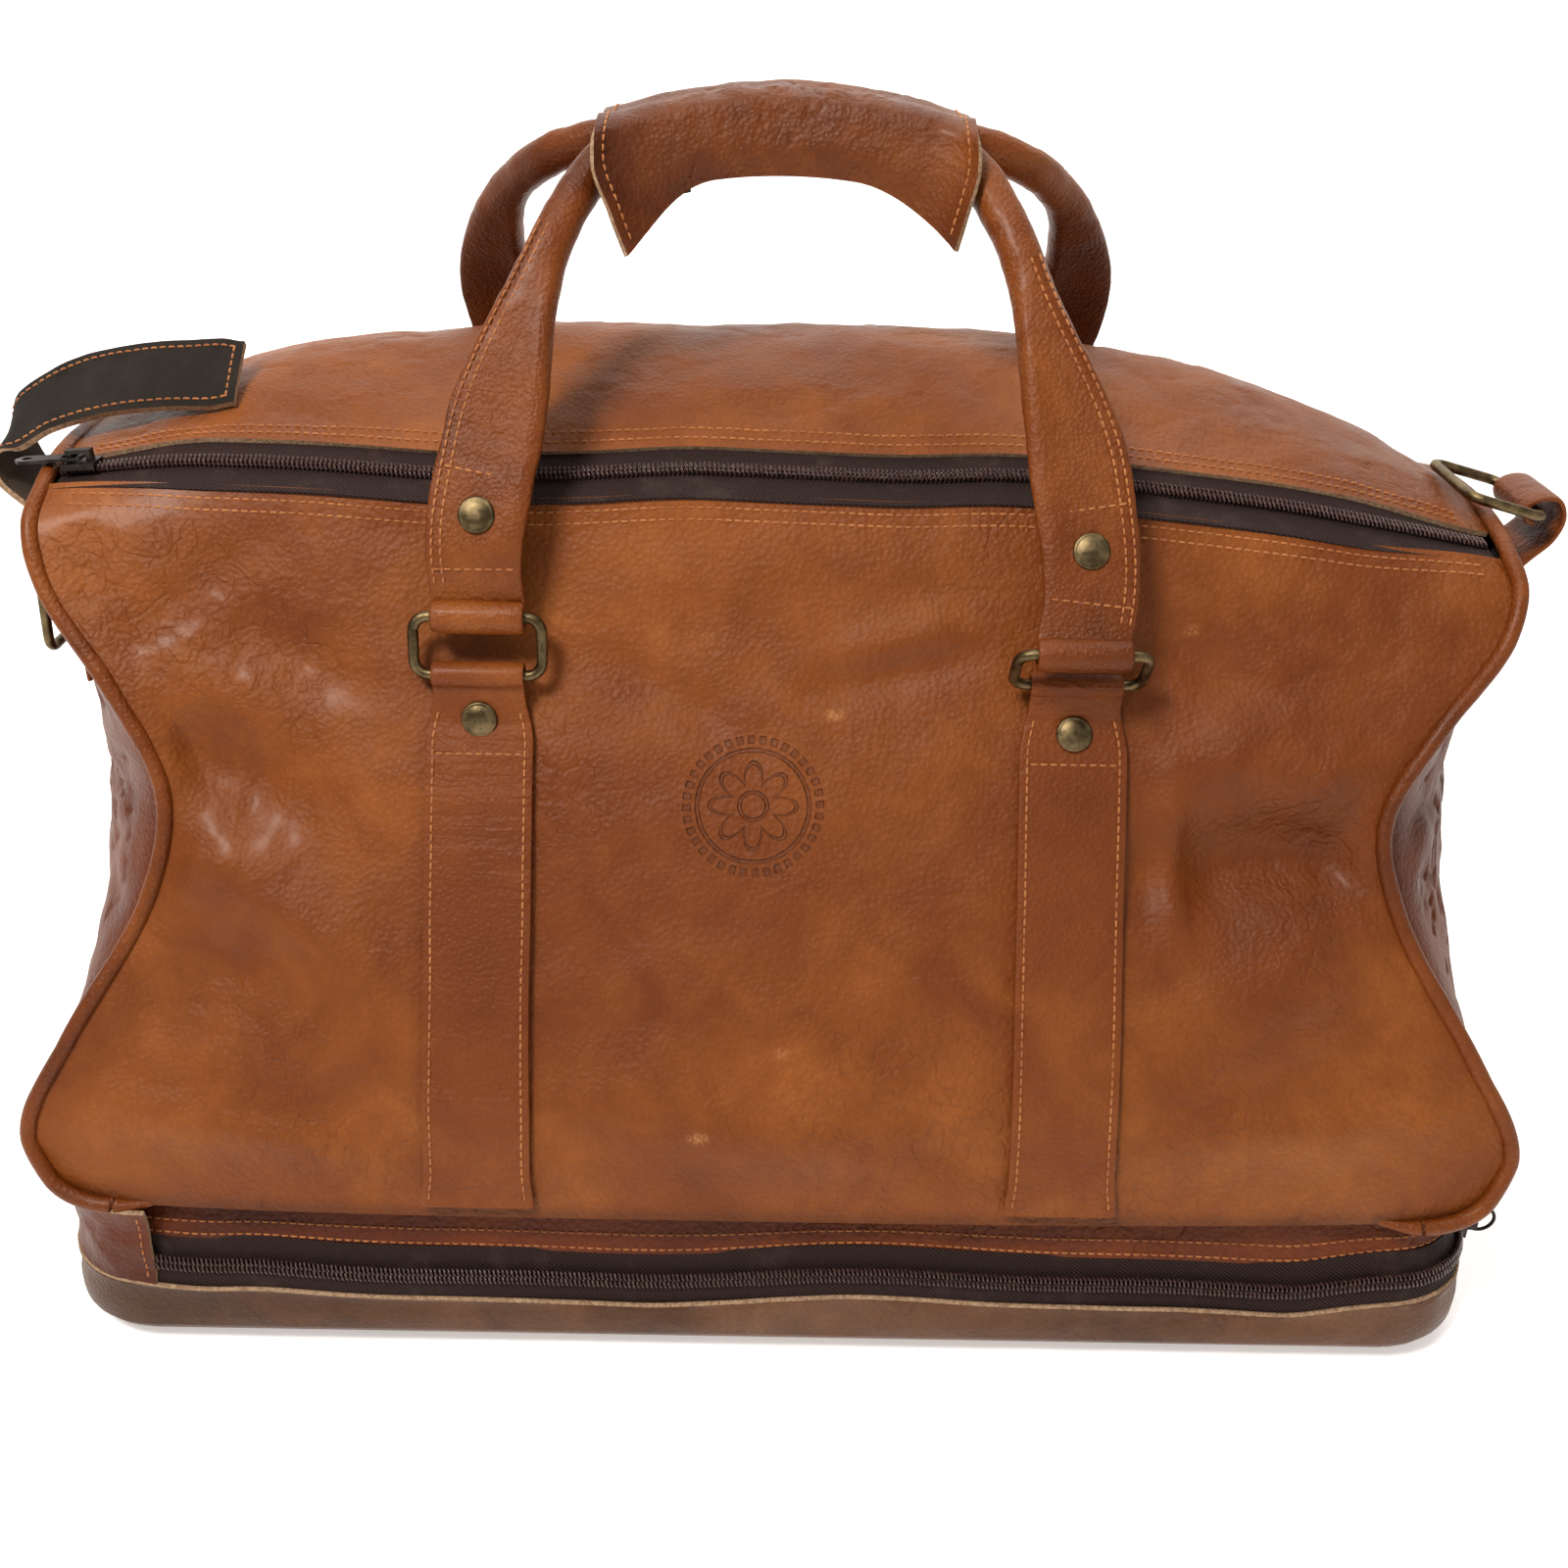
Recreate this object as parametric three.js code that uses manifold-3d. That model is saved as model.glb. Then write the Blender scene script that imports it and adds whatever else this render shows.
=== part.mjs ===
// A soft leather weekender bag that stands on its flat base. A zipped shoe compartment runs under
// the main compartment. The mouth is a long zip along the top, with two carrying handles on rings.
// Millimetres. +X runs along the bag to its right end, -Y is its front, +Z is up, and the origin is
// the middle of the footprint on the ground.
import * as THREE from "three";
import Module from "manifold-3d";
import { mergeVertices } from "three/addons/utils/BufferGeometryUtils.js";

// ---------------------------------------------------------------- driving dimensions
const leather = 2;
const strapLeather = 2.5;
const clearance = 0.5;
const pipingRadius = 3;

const baseHalfLength = 276;
const baseHalfDepth = 146;
const baseCorner = 40;
const trayRim = 24;
const baseZipWidth = 20;
const bandTop = 60.5;

const endBulge = 273;
const seamInset = 7.2;
const flapShare = 0.73;

const zipY = -27;
const zipHalfWidth = 9;
const zipEnd = 262;
const zipHeights = { left: 306, middle: 312, right: 287 };

const strapX = 107;
const strapWidth = 39;
const ringLength = 50;
const ringHeight = 25;
const ringWire = 2;
const frontBar = { y: -69.4, z: 246 };
const backBar = { y: 138.9, z: 244 };
const rivetRadius = 6.4;

const gripRadius = 7.5;
const wrapHalfLength = 66;

// ---------------------------------------------------------------- colours
const finish = {
  leather: { color: 0x9a5528, roughness: 0.5, metalness: 0 },
  darkLeather: { color: 0x3a2a22, roughness: 0.8, metalness: 0 },
  board: { color: 0x4a3a30, roughness: 0.9, metalness: 0 },
  tape: { color: 0x3b2a26, roughness: 0.8, metalness: 0 },
  brass: { color: 0x7d6a45, roughness: 0.4, metalness: 0.9 },
  black: { color: 0x1c1a1a, roughness: 0.45, metalness: 0.7 },
};

const bag = new THREE.Group();

function addPart(name, geometry, look) {
  const mesh = new THREE.Mesh(geometry, new THREE.MeshStandardMaterial(finish[look]));
  mesh.name = name;
  bag.add(mesh);
  return mesh;
}

// ---------------------------------------------------------------- closed solids from point rings
const at = (x, y, z) => new THREE.Vector3(x, y, z);

function signedVolume(points, triangles) {
  let volume = 0;
  for (const [a, b, c] of triangles) {
    volume += points[a].dot(new THREE.Vector3().crossVectors(points[b], points[c]));
  }
  return volume;
}

// A geometry from points and triangles, turned so that its faces point outwards.
function closedGeometry(points, triangles) {
  const outward = signedVolume(points, triangles) > 0;
  const geometry = new THREE.BufferGeometry();
  const coordinates = points.flatMap((p) => [p.x, p.y, p.z]);
  geometry.setAttribute("position", new THREE.Float32BufferAttribute(coordinates, 3));
  geometry.setIndex(triangles.flatMap(([a, b, c]) => (outward ? [a, b, c] : [a, c, b])));
  geometry.computeVertexNormals();
  return geometry;
}

// Joins rings of points, each with the same count, into one solid. The ends are capped unless the
// rings themselves close into a loop.
function loft(rings, looped = false) {
  const count = rings[0].length;
  const points = rings.flat();
  const triangles = [];
  const spans = looped ? rings.length : rings.length - 1;
  for (let i = 0; i < spans; i++) {
    const here = i * count;
    const next = ((i + 1) % rings.length) * count;
    for (let j = 0; j < count; j++) {
      const k = (j + 1) % count;
      triangles.push([here + j, here + k, next + k], [here + j, next + k, next + j]);
    }
  }
  if (!looped) {
    const last = (rings.length - 1) * count;
    for (let j = 1; j < count - 1; j++) {
      triangles.push([0, j + 1, j], [last, last + j, last + j + 1]);
    }
  }
  return closedGeometry(points, triangles);
}

// A sheet of even thickness behind a grid of surface points. The grid's surface is the outer face,
// and the inner face lies towards the bag's core.
const core = at(0, 20, 180);

function gridNormals(grid, towards) {
  const rows = grid.length;
  const columns = grid[0].length;
  const normals = grid.map((row, i) =>
    row.map((point, j) => {
      const along = grid[Math.min(i + 1, rows - 1)][j].clone().sub(grid[Math.max(i - 1, 0)][j]);
      const across = row[Math.min(j + 1, columns - 1)].clone().sub(row[Math.max(j - 1, 0)]);
      return along.cross(across).normalize();
    }),
  );
  let facing = 0;
  normals.forEach((row, i) => row.forEach((n, j) => (facing += n.dot(grid[i][j].clone().sub(towards)))));
  if (facing < 0) {
    normals.flat().forEach((n) => n.negate());
  }
  return normals;
}

function sheet(grid, thickness, towards = core) {
  const rows = grid.length;
  const columns = grid[0].length;
  const normals = gridNormals(grid, towards);
  const outer = grid.flat();
  const inner = outer.map((p, k) => p.clone().addScaledVector(normals.flat()[k], -thickness));
  const size = outer.length;
  const index = (i, j) => i * columns + j;
  const triangles = [];
  for (let i = 0; i < rows - 1; i++) {
    for (let j = 0; j < columns - 1; j++) {
      const [a, b, c, d] = [index(i, j), index(i, j + 1), index(i + 1, j + 1), index(i + 1, j)];
      triangles.push([a, b, c], [a, c, d]);
      triangles.push([a + size, c + size, b + size], [a + size, d + size, c + size]);
    }
  }
  const rim = [];
  for (let j = 0; j < columns - 1; j++) rim.push(index(0, j));
  for (let i = 0; i < rows - 1; i++) rim.push(index(i, columns - 1));
  for (let j = columns - 1; j > 0; j--) rim.push(index(rows - 1, j));
  for (let i = rows - 1; i > 0; i--) rim.push(index(i, 0));
  rim.forEach((a, k) => {
    const b = rim[(k + 1) % rim.length];
    triangles.push([b, a, a + size], [b, a + size, b + size]);
  });
  return closedGeometry([...outer, ...inner], triangles);
}

// ---------------------------------------------------------------- joining with manifold-3d
const wasm = await Module();
wasm.setup();

function toManifold(geometry) {
  const bare = geometry.clone();
  bare.deleteAttribute("normal");
  bare.deleteAttribute("uv");
  const merged = mergeVertices(bare, 1e-4);
  const vertProperties = new Float32Array(merged.attributes.position.array);
  const triVerts = new Uint32Array(merged.index.array);
  return new wasm.Manifold(new wasm.Mesh({ numProp: 3, vertProperties, triVerts }));
}

function fromManifold(solid) {
  const mesh = solid.getMesh();
  const geometry = new THREE.BufferGeometry();
  geometry.setAttribute("position", new THREE.BufferAttribute(new Float32Array(mesh.vertProperties), 3));
  geometry.setIndex(new THREE.BufferAttribute(new Uint32Array(mesh.triVerts), 1));
  geometry.computeVertexNormals();
  return geometry;
}

const union = (first, ...others) =>
  fromManifold(others.reduce((sum, geometry) => sum.add(toManifold(geometry)), toManifold(first)));

// ---------------------------------------------------------------- the main compartment's surface
const curveThrough = (list) => new THREE.CatmullRomCurve3(list.map(([x, y, z]) => at(x, y, z)));

// The section at mid-length, as x = 0, y and z, in three runs: up the front to the zip, over the
// top to the lap seam, and down the back.
const zipFrontEdge = zipY - zipHalfWidth;
const zipBackEdge = zipY + zipHalfWidth;
const middleRuns = {
  front: [[0, -143, 62], [0, -131, 105], [0, -106, 160], [0, -80, 213], [0, -60, 250], [0, -46, 285],
    [0, zipFrontEdge, 311]],
  top: [[0, zipBackEdge, 314], [0, 15, 333], [0, 48, 343], [0, 80, 339], [0, 110, 322]],
  back: [[0, 113, 318.5], [0, 127, 282], [0, 134, 243], [0, 139, 165], [0, 142, 105], [0, 141.4, 62]],
};

// The end seam, which the piping follows. It pinches in to a waist at half height.
const endRuns = {
  front: [[271, -136, 62], [273, -131, 90], [256, -121, 122], [228, -98, 168], [221, -86, 200],
    [238, -75, 232], [261, -61, 260], [267, -50, 277], [266, zipFrontEdge, 286]],
  top: [[267, zipBackEdge, 290], [270, 15, 291], [271, 50, 289], [270, 84, 282], [267, 106, 271]],
  back: [[266, 109.5, 267.5], [260, 121, 240], [236, 126, 205], [226, 129, 172], [250, 135, 118],
    [268, 137, 85], [266, 134, 62]],
};
const leftLift = 17;
const liftFrom = 170;
const liftOver = 120;
const lifted = (z) => z + leftLift * THREE.MathUtils.clamp((z - liftFrom) / liftOver, 0, 1);

const runNames = ["front", "top", "back"];
const middleCurves = {};
const endCurves = { left: {}, right: {} };
for (const run of runNames) {
  middleCurves[run] = curveThrough(middleRuns[run]);
  endCurves.right[run] = curveThrough(endRuns[run]);
  endCurves.left[run] = curveThrough(endRuns[run].map(([x, y, z]) => [x, y, lifted(z)]));
}
const falloff = { left: 4.2, right: 2.8 };

// The zip's height at x: an arc through its two ends and its middle.
function circleThrough(p, q, r) {
  const d = 2 * (p.x * (q.y - r.y) + q.x * (r.y - p.y) + r.x * (p.y - q.y));
  const [pp, qq, rr] = [p, q, r].map((v) => v.lengthSq());
  const x = (pp * (q.y - r.y) + qq * (r.y - p.y) + rr * (p.y - q.y)) / d;
  const y = (pp * (r.x - q.x) + qq * (p.x - r.x) + rr * (q.x - p.x)) / d;
  return { x, y, radius: Math.hypot(p.x - x, p.y - y) };
}
const zipCircle = circleThrough(
  new THREE.Vector2(-zipEnd, zipHeights.left),
  new THREE.Vector2(0, zipHeights.middle),
  new THREE.Vector2(zipEnd, zipHeights.right),
);
const zipHeight = (x) => zipCircle.y + Math.sqrt(zipCircle.radius ** 2 - (x - zipCircle.x) ** 2);

// A point on the shell: u runs from -1 at the left seam to 1 at the right, s runs along the run.
function rawShell(run, u, s) {
  const side = u < 0 ? "left" : "right";
  const middle = middleCurves[run].getPointAt(s);
  const end = endCurves[side][run].getPointAt(s);
  const weight = Math.abs(u) ** falloff[side];
  const { lerp } = THREE.MathUtils;
  return at(u * end.x, lerp(middle.y, end.y, weight), lerp(middle.z, end.z, weight));
}

// Near the zip the leather's edge settles onto the zip's arc.
function shell(run, u, s) {
  const point = rawShell(run, u, s);
  if (run === "back") return point;
  const edge = rawShell(run, u, run === "front" ? 1 : 0);
  const nearness = (run === "front" ? s : 1 - s) ** 4;
  point.z += (zipHeight(edge.x) - edge.z) * nearness;
  return point;
}

// The shell's point at a given x instead of u.
function shellAtX(run, x, s) {
  return shell(run, x / endCurves[x < 0 ? "left" : "right"][run].getPointAt(s).x, s);
}

const steps = (from, to, count) =>
  Array.from({ length: count + 1 }, (_, i) => from + ((to - from) * i) / count);

const shellGrid = (run, uFrom, uTo, uCount, sFrom, sTo, sCount) =>
  steps(sFrom, sTo, sCount).map((s) => steps(uFrom, uTo, uCount).map((u) => shell(run, u, s)));

const seamShare = 1 - seamInset / 268;
addPart("front_panel", sheet(shellGrid("front", -seamShare, seamShare, 16, 0, 1, 10), leather), "leather");
addPart("back_panel", sheet(shellGrid("back", -seamShare, seamShare, 14, 0, 1, 8), leather), "leather");
addPart("top_panel", sheet(shellGrid("top", -flapShare, flapShare, 14, 0, 1, 6), leather), "leather");
const endPatchFrom = flapShare + 0.005;
addPart("top_end_left", sheet(shellGrid("top", -seamShare, -endPatchFrom, 4, 0, 1, 6), leather), "leather");
addPart("top_end_right", sheet(shellGrid("top", endPatchFrom, seamShare, 4, 0, 1, 6), leather), "leather");

// ---------------------------------------------------------------- end panels and piping
const seamFoot = 62;
const crestHeight = 290;
const crestShare = 0.5;

// The seam's point at a height, between its foot at one end and its crest.
function seamPointAt(seam, z, foot, crest) {
  let [low, high] = [foot, crest];
  for (let i = 0; i < 30; i++) {
    const t = (low + high) / 2;
    if (seam.getPointAt(t).z < z) low = t;
    else high = t;
  }
  return seam.getPointAt(low);
}

for (const side of ["left", "right"]) {
  const hand = side === "left" ? -1 : 1;
  const route = runNames.flatMap((run) =>
    endRuns[run].map(([x, y, z]) => [hand * x, y, hand < 0 ? lifted(z) : z]));
  const seam = curveThrough(route);
  const crest = crestHeight + (hand < 0 ? leftLift : 0);
  const rows = steps(seamFoot, crest - 1.7 * seamInset, 13).map((z) => {
    const front = seamPointAt(seam, z, 0, crestShare);
    const back = seamPointAt(seam, z, 1, crestShare);
    const inset = seamInset / front.distanceTo(back);
    return steps(inset, 1 - inset, 8).map((t) => {
      const point = front.clone().lerp(back, t);
      const swell = Math.sin(Math.PI * t) ** 0.7;
      point.x += (hand * endBulge - point.x) * swell;
      return point;
    });
  });
  addPart(`end_panel_${side}`, sheet(rows, leather), "leather");
  const disc = new THREE.Shape().absarc(0, 0, pipingRadius, 0, 2 * Math.PI);
  const sweep = { steps: 44, curveSegments: 3, bevelEnabled: false, extrudePath: seam };
  addPart(`piping_${side}`, new THREE.ExtrudeGeometry(disc, sweep), "leather");
}

// ---------------------------------------------------------------- base: tray, board, gusset, back wall
// The footprint's rounded outline at a height, drawn in from the full footprint by an inset.
const cornerSteps = 6;
function footprint(inset, z, from = 0, to = 4) {
  const points = [];
  const halfX = baseHalfLength - baseCorner;
  const halfY = baseHalfDepth - baseCorner;
  const centres = [[halfX, -halfY], [halfX, halfY], [-halfX, halfY], [-halfX, -halfY]];
  for (let corner = from; corner < to; corner++) {
    const [x, y] = centres[corner % 4];
    for (let k = 0; k <= cornerSteps; k++) {
      const angle = (Math.PI / 2) * (corner - 1 + k / cornerSteps);
      const radius = baseCorner - inset;
      points.push(at(x + radius * Math.cos(angle), y + radius * Math.sin(angle), z));
    }
  }
  return points;
}

const trayFloor = 3;
addPart("base_tray", loft([
  footprint(7, 0), footprint(1, 5), footprint(0, 12), footprint(2, trayRim),
  footprint(2 + leather, trayRim), footprint(9, trayFloor),
]), "leather");
addPart("base_board", loft([footprint(16, trayFloor + clearance), footprint(16, trayFloor + 3)]), "board");

// An upright strip that follows part of the outline. Its bottom and top edges have their own insets.
function wallStrip(bottom, top, thickness, extra) {
  const low = extra(bottom.inset, bottom.z);
  const high = extra(top.inset, top.z);
  return sheet([low, high], thickness, at(0, 0, bottom.z));
}

// The shoe compartment's zip runs from the front left corner, along the front, round the right
// front corner and along the right end.
const zipReach = 96;
function zipRoute(inset, z) {
  const start = [at(-baseHalfLength + baseCorner, -baseHalfDepth + inset, z)];
  const middle = steps(-180, 180, 6).map((x) => at(x, -baseHalfDepth + inset, z));
  const corner = footprint(inset, z, 0, 1);
  const end = [at(baseHalfLength - inset, 0, z), at(baseHalfLength - inset, zipReach, z)];
  return [...start, ...middle, ...corner, ...end];
}
const tapeMeet = trayRim + 0.5 + baseZipWidth / 2;
const tapeThickness = 1.5;
const lowerTape = [{ inset: 3, z: trayRim + 0.5 }, { inset: 5, z: tapeMeet - 0.3 }];
const upperTape = [{ inset: 5.5, z: tapeMeet + 0.3 }, { inset: 9, z: tapeMeet + baseZipWidth / 2 }];
addPart("base_zip_tape_lower", wallStrip(...lowerTape, tapeThickness, zipRoute), "tape");
addPart("base_zip_tape_upper", wallStrip(...upperTape, tapeThickness, zipRoute), "tape");

// At the back a leather wall meets the body at the hinge line. The left end is sewn, as a gusset.
const hingeHeight = 44;
const backRoute = (inset, z) => [at(baseHalfLength - inset, zipReach + 1, z), ...footprint(inset, z, 1, 3)];
addPart("base_back_wall",
  wallStrip({ inset: 3, z: trayRim + 0.5 }, { inset: 3, z: hingeHeight - 1 }, leather, backRoute), "leather");
function gussetRoute(inset, z) {
  const x = -baseHalfLength + inset;
  return [at(x, baseHalfDepth - baseCorner - 1, z), at(x, 0, z), at(x, -baseHalfDepth + baseCorner, z),
    ...footprint(inset, z, 3, 4).slice(1, 5)];
}
addPart("base_gusset_left",
  wallStrip({ inset: 3, z: trayRim + 0.5 }, { inset: 3, z: bandTop - 3 }, leather, gussetRoute), "leather");

// The leather band above the zip, a full ring drawn in under the body.
const bandInset = 12;
const bandBottom = tapeMeet + baseZipWidth / 2 + 0.6;
addPart("base_zip_band", loft([
  footprint(bandInset - 3, bandBottom), footprint(bandInset, bandTop),
  footprint(bandInset + leather, bandTop), footprint(bandInset - 3 + leather, bandBottom),
], true), "leather");

// The board between the two compartments.
addPart("main_floor", loft([footprint(18, bandTop + clearance), footprint(18, bandTop + 4)]), "board");

// ---------------------------------------------------------------- straps sewn down the body
// A path in the plane of y and z round a ring's bar: from a start angle, turning by a sweep.
function roundBar(bar, radius, fromDegrees, sweepDegrees, count) {
  return steps(0, 1, count).map((t) => {
    const angle = THREE.MathUtils.degToRad(fromDegrees + sweepDegrees * t);
    return [bar.y + radius * Math.cos(angle), bar.z + radius * Math.sin(angle)];
  });
}

// A solid band of a given thickness that follows stations of centre, width vector and sizes.
function bandRing(centre, tangent, across, width, thickness, sides) {
  const wide = across.clone().addScaledVector(tangent, -across.dot(tangent)).normalize();
  const deep = new THREE.Vector3().crossVectors(tangent, wide).normalize();
  return steps(0, 1, sides).slice(0, sides).map((t) => {
    const angle = 2 * Math.PI * (t + 0.5 / sides);
    const [c, s] = [Math.cos(angle), Math.sin(angle)];
    const corner = 1 / Math.max(Math.abs(c) ** 4 + Math.abs(s) ** 4, 1e-9) ** 0.25;
    const [side, depth] = [(width / 2) * c * corner, (thickness / 2) * s * corner];
    return centre.clone().addScaledVector(wide, side).addScaledVector(deep, depth);
  });
}

function bandAlong(stations, sides = 8) {
  const rings = stations.map((station, i) => {
    const before = stations[Math.max(i - 1, 0)].centre;
    const after = stations[Math.min(i + 1, stations.length - 1)].centre;
    const tangent = after.clone().sub(before).normalize();
    return bandRing(station.centre, tangent, station.across, station.width, station.thickness, sides);
  });
  return loft(rings);
}

const loopRadius = ringWire + clearance + strapLeather / 2;
const loopWidth = 33;
const strapLie = 1.3;
const alongX = at(1, 0, 0);

// A body strap lies on its panel, then its top end turns over the ring's lower bar.
function bodyStrap(run, x, bar, outward) {
  const lie = strapLie + strapLeather / 2;
  const onPanel = steps(0.01, 0.99, 20)
    .map((s) => shellAtX(run, x, run === "front" ? s : 1 - s))
    .filter((p) => p.z < bar.z - 14);
  const stations = onPanel.map((p, i) => {
    const next = onPanel[Math.min(i + 1, onPanel.length - 1)];
    const along = next.clone().sub(onPanel[Math.max(i - 1, 0)]).normalize();
    return [p.y + outward * lie * along.z, p.z - outward * lie * along.y, strapWidth];
  });
  const start = outward < 0 ? 240 : 300;
  const loop = roundBar(bar, loopRadius, start, outward * 290, 10);
  stations.push(...loop.map(([y, z]) => [y, z, loopWidth]));
  return bandAlong(stations.map(([y, z, width]) => ({
    centre: at(x, y, z), across: alongX, width, thickness: strapLeather,
  })));
}

// ---------------------------------------------------------------- rings and rivets
// A wire ring, a rectangle with round corners: length along a, and height along b from its first bar.
const ringCorner = 5.5;
function wireRing(length, height, wire, place) {
  const half = length / 2 - wire - ringCorner;
  const rise = height - 2 * wire - ringCorner;
  const outline = [];
  const corners = [[half, ringCorner, -90], [half, rise, 0], [-half, rise, 90], [-half, ringCorner, 180]];
  for (const [a, b, from] of corners) {
    for (const t of steps(0, 1, 4)) {
      const angle = THREE.MathUtils.degToRad(from + 90 * t);
      outline.push(new THREE.Vector2(a + ringCorner * Math.cos(angle), b + ringCorner * Math.sin(angle)));
    }
  }
  const rings = outline.map((p, i) => {
    const before = outline[(i + outline.length - 1) % outline.length];
    const after = outline[(i + 1) % outline.length];
    const outwards = new THREE.Vector2(after.y - before.y, before.x - after.x).normalize();
    return steps(0, 1, 6).slice(0, 6).map((t) => {
      const angle = 2 * Math.PI * t;
      const reach = wire * Math.cos(angle);
      return place(p.x + outwards.x * reach, p.y + outwards.y * reach, wire * Math.sin(angle));
    });
  });
  return loft(rings, true);
}

// A domed rivet cap, which faces along a direction.
function rivet(centre, facing) {
  const profile = [[0, 0], [rivetRadius, 0], [rivetRadius, 0.8], [rivetRadius * 0.8, 1.7],
    [rivetRadius * 0.4, 2.1], [0, 2.2]];
  const cap = new THREE.LatheGeometry(profile.map(([r, h]) => new THREE.Vector2(r, h)), 12);
  cap.applyQuaternion(new THREE.Quaternion().setFromUnitVectors(at(0, 1, 0), facing.clone().normalize()));
  cap.translate(centre.x, centre.y, centre.z);
  return cap;
}

// The rivet through a body strap below its ring, lying on the strap's outer face.
const strapRivetHeight = 225;
const rivetLift = 2.4;
function strapRivet(run, x) {
  const near = steps(0, 1, 80).map((s) => shellAtX(run, x, s));
  const above = near.map((p) => p.z > strapRivetHeight);
  const k = above.findIndex((isAbove, i) => i > 0 && isAbove !== above[i - 1]);
  const along = near[k].clone().sub(near[k - 1]).normalize();
  const outwards = at(0, -along.z, along.y);
  if (outwards.y > 0 !== run === "back") outwards.negate();
  return rivet(near[k].addScaledVector(outwards, strapLie + strapLeather + rivetLift), outwards);
}

// ---------------------------------------------------------------- handles
// Each handle is one strap: flat at the rings, rolled at the grip. Its centre line is listed from
// just above the ring to mid-grip for the left half, and mirrored for the right.
const handles = {
  front: {
    bar: frontBar,
    outward: -1,
    plane: at(0, -0.91, 0.41),
    lower: { left: [[107, -62, 290], [101, -46, 325]], right: [[109, -70, 282], [104, -51, 319]] },
    upper: [[91, -25, 362], [78, -4, 394], [62, 14, 413], [34, 21, 422], [0, 23, 425]],
  },
  back: {
    bar: backBar,
    outward: 1,
    plane: at(0, 0.9, 0.44),
    lower: { left: [[109, 132, 288], [117, 122, 322]], right: [[109, 132, 288], [117, 122, 322]] },
    upper: [[122, 106, 356], [112, 80, 388], [88, 52, 408], [62, 43, 416], [34, 41.5, 423], [0, 41, 426]],
  },
};
const strapEnd = 35;
const handleLeather = 3.6;
const handleRivetReach = 54;
const loopReach = 27;
const ringLean = {
  front: { left: at(0, 0.2, 0.98), right: at(0, -0.6, 0.8) },
  back: { left: at(0, 0, 1), right: at(0, 0, 1) },
};
const loopPitch = ringHeight - 2 * ringWire;

const routes = {};
for (const [face, { bar, outward, plane, lower, upper }] of Object.entries(handles)) {
  const halfRoute = (side, hand) => {
    const lean = ringLean[face][side];
    const upperBar = { y: bar.y + lean.y * loopPitch, z: bar.z + lean.z * loopPitch };
    const wrapRadius = ringWire + clearance + handleLeather / 2;
    const barX = lower.left[0][0] - 0.5;
    const start = outward < 0 ? 60 : 120;
    const loop = roundBar(upperBar, wrapRadius, start + outward * -290, outward * 290, 10);
    const rise = [...lower[side], ...upper].map(([x, y, z]) => at(hand * x, y, z));
    return [...loop.map(([y, z]) => at(hand * barX, y, z)), ...rise];
  };
  const left = halfRoute("left", -1);
  const right = halfRoute("right", 1).slice(0, -1).reverse();
  const route = new THREE.CatmullRomCurve3([...left, ...right], false, "centripetal");
  routes[face] = route;
  const total = route.getLength();
  const rollFrom = 0.16 * total;
  const rollTo = 0.32 * total;
  const leftReaches = [...steps(0, loopReach, 11), ...steps(loopReach + 7, total / 2, 20)];
  const reaches = [...leftReaches, ...leftReaches.slice(0, -1).reverse().map((r) => total - r)];
  const stations = reaches.map((distance) => {
    const t = distance / total;
    const reach = Math.min(distance, total - distance);
    const roll = THREE.MathUtils.smoothstep(reach, rollFrom, rollTo);
    const looped = 1 - THREE.MathUtils.smoothstep(reach, 30, 55);
    const tangent = route.getTangentAt(t);
    const sign = t < 0.5 ? 1 : -1;
    const inPlane = new THREE.Vector3().crossVectors(tangent, plane).normalize();
    const across = inPlane.lerp(alongX.clone().multiplyScalar(Math.sign(inPlane.x || sign)), looped);
    return {
      centre: route.getPointAt(t),
      across,
      width: THREE.MathUtils.lerp(THREE.MathUtils.lerp(strapEnd, loopWidth, looped), 2 * gripRadius, roll),
      thickness: THREE.MathUtils.lerp(handleLeather, 1.8 * gripRadius, roll),
    };
  });
  addPart(`handle_${face}`, bandAlong(stations), "leather");

  const rivetHeight = handleLeather / 2 + 2.4 * clearance;
  for (const side of ["left", "right"]) {
    const hand = side === "left" ? -1 : 1;
    const x = hand * strapX;
    const lean = ringLean[face][side];
    addPart(`strap_${face}_${side}`, bodyStrap(face, x, bar, outward), "leather");
    const ringPlace = (a, b, c) =>
      at(x + a, bar.y + lean.y * b + outward * lean.z * c, bar.z + lean.z * b - outward * lean.y * c);
    addPart(`ring_${face}_${side}`, wireRing(ringLength, ringHeight, ringWire, ringPlace), "brass");
    const capShare = handleRivetReach / total;
    const seat = route.getPointAt(hand < 0 ? capShare : 1 - capShare);
    const capCentre = seat.addScaledVector(plane, rivetHeight);
    addPart(`handle_rivet_${face}_${side}`, rivet(capCentre, plane), "brass");
    addPart(`strap_rivet_${face}_${side}`, strapRivet(face, x), "brass");
  }
}

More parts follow.
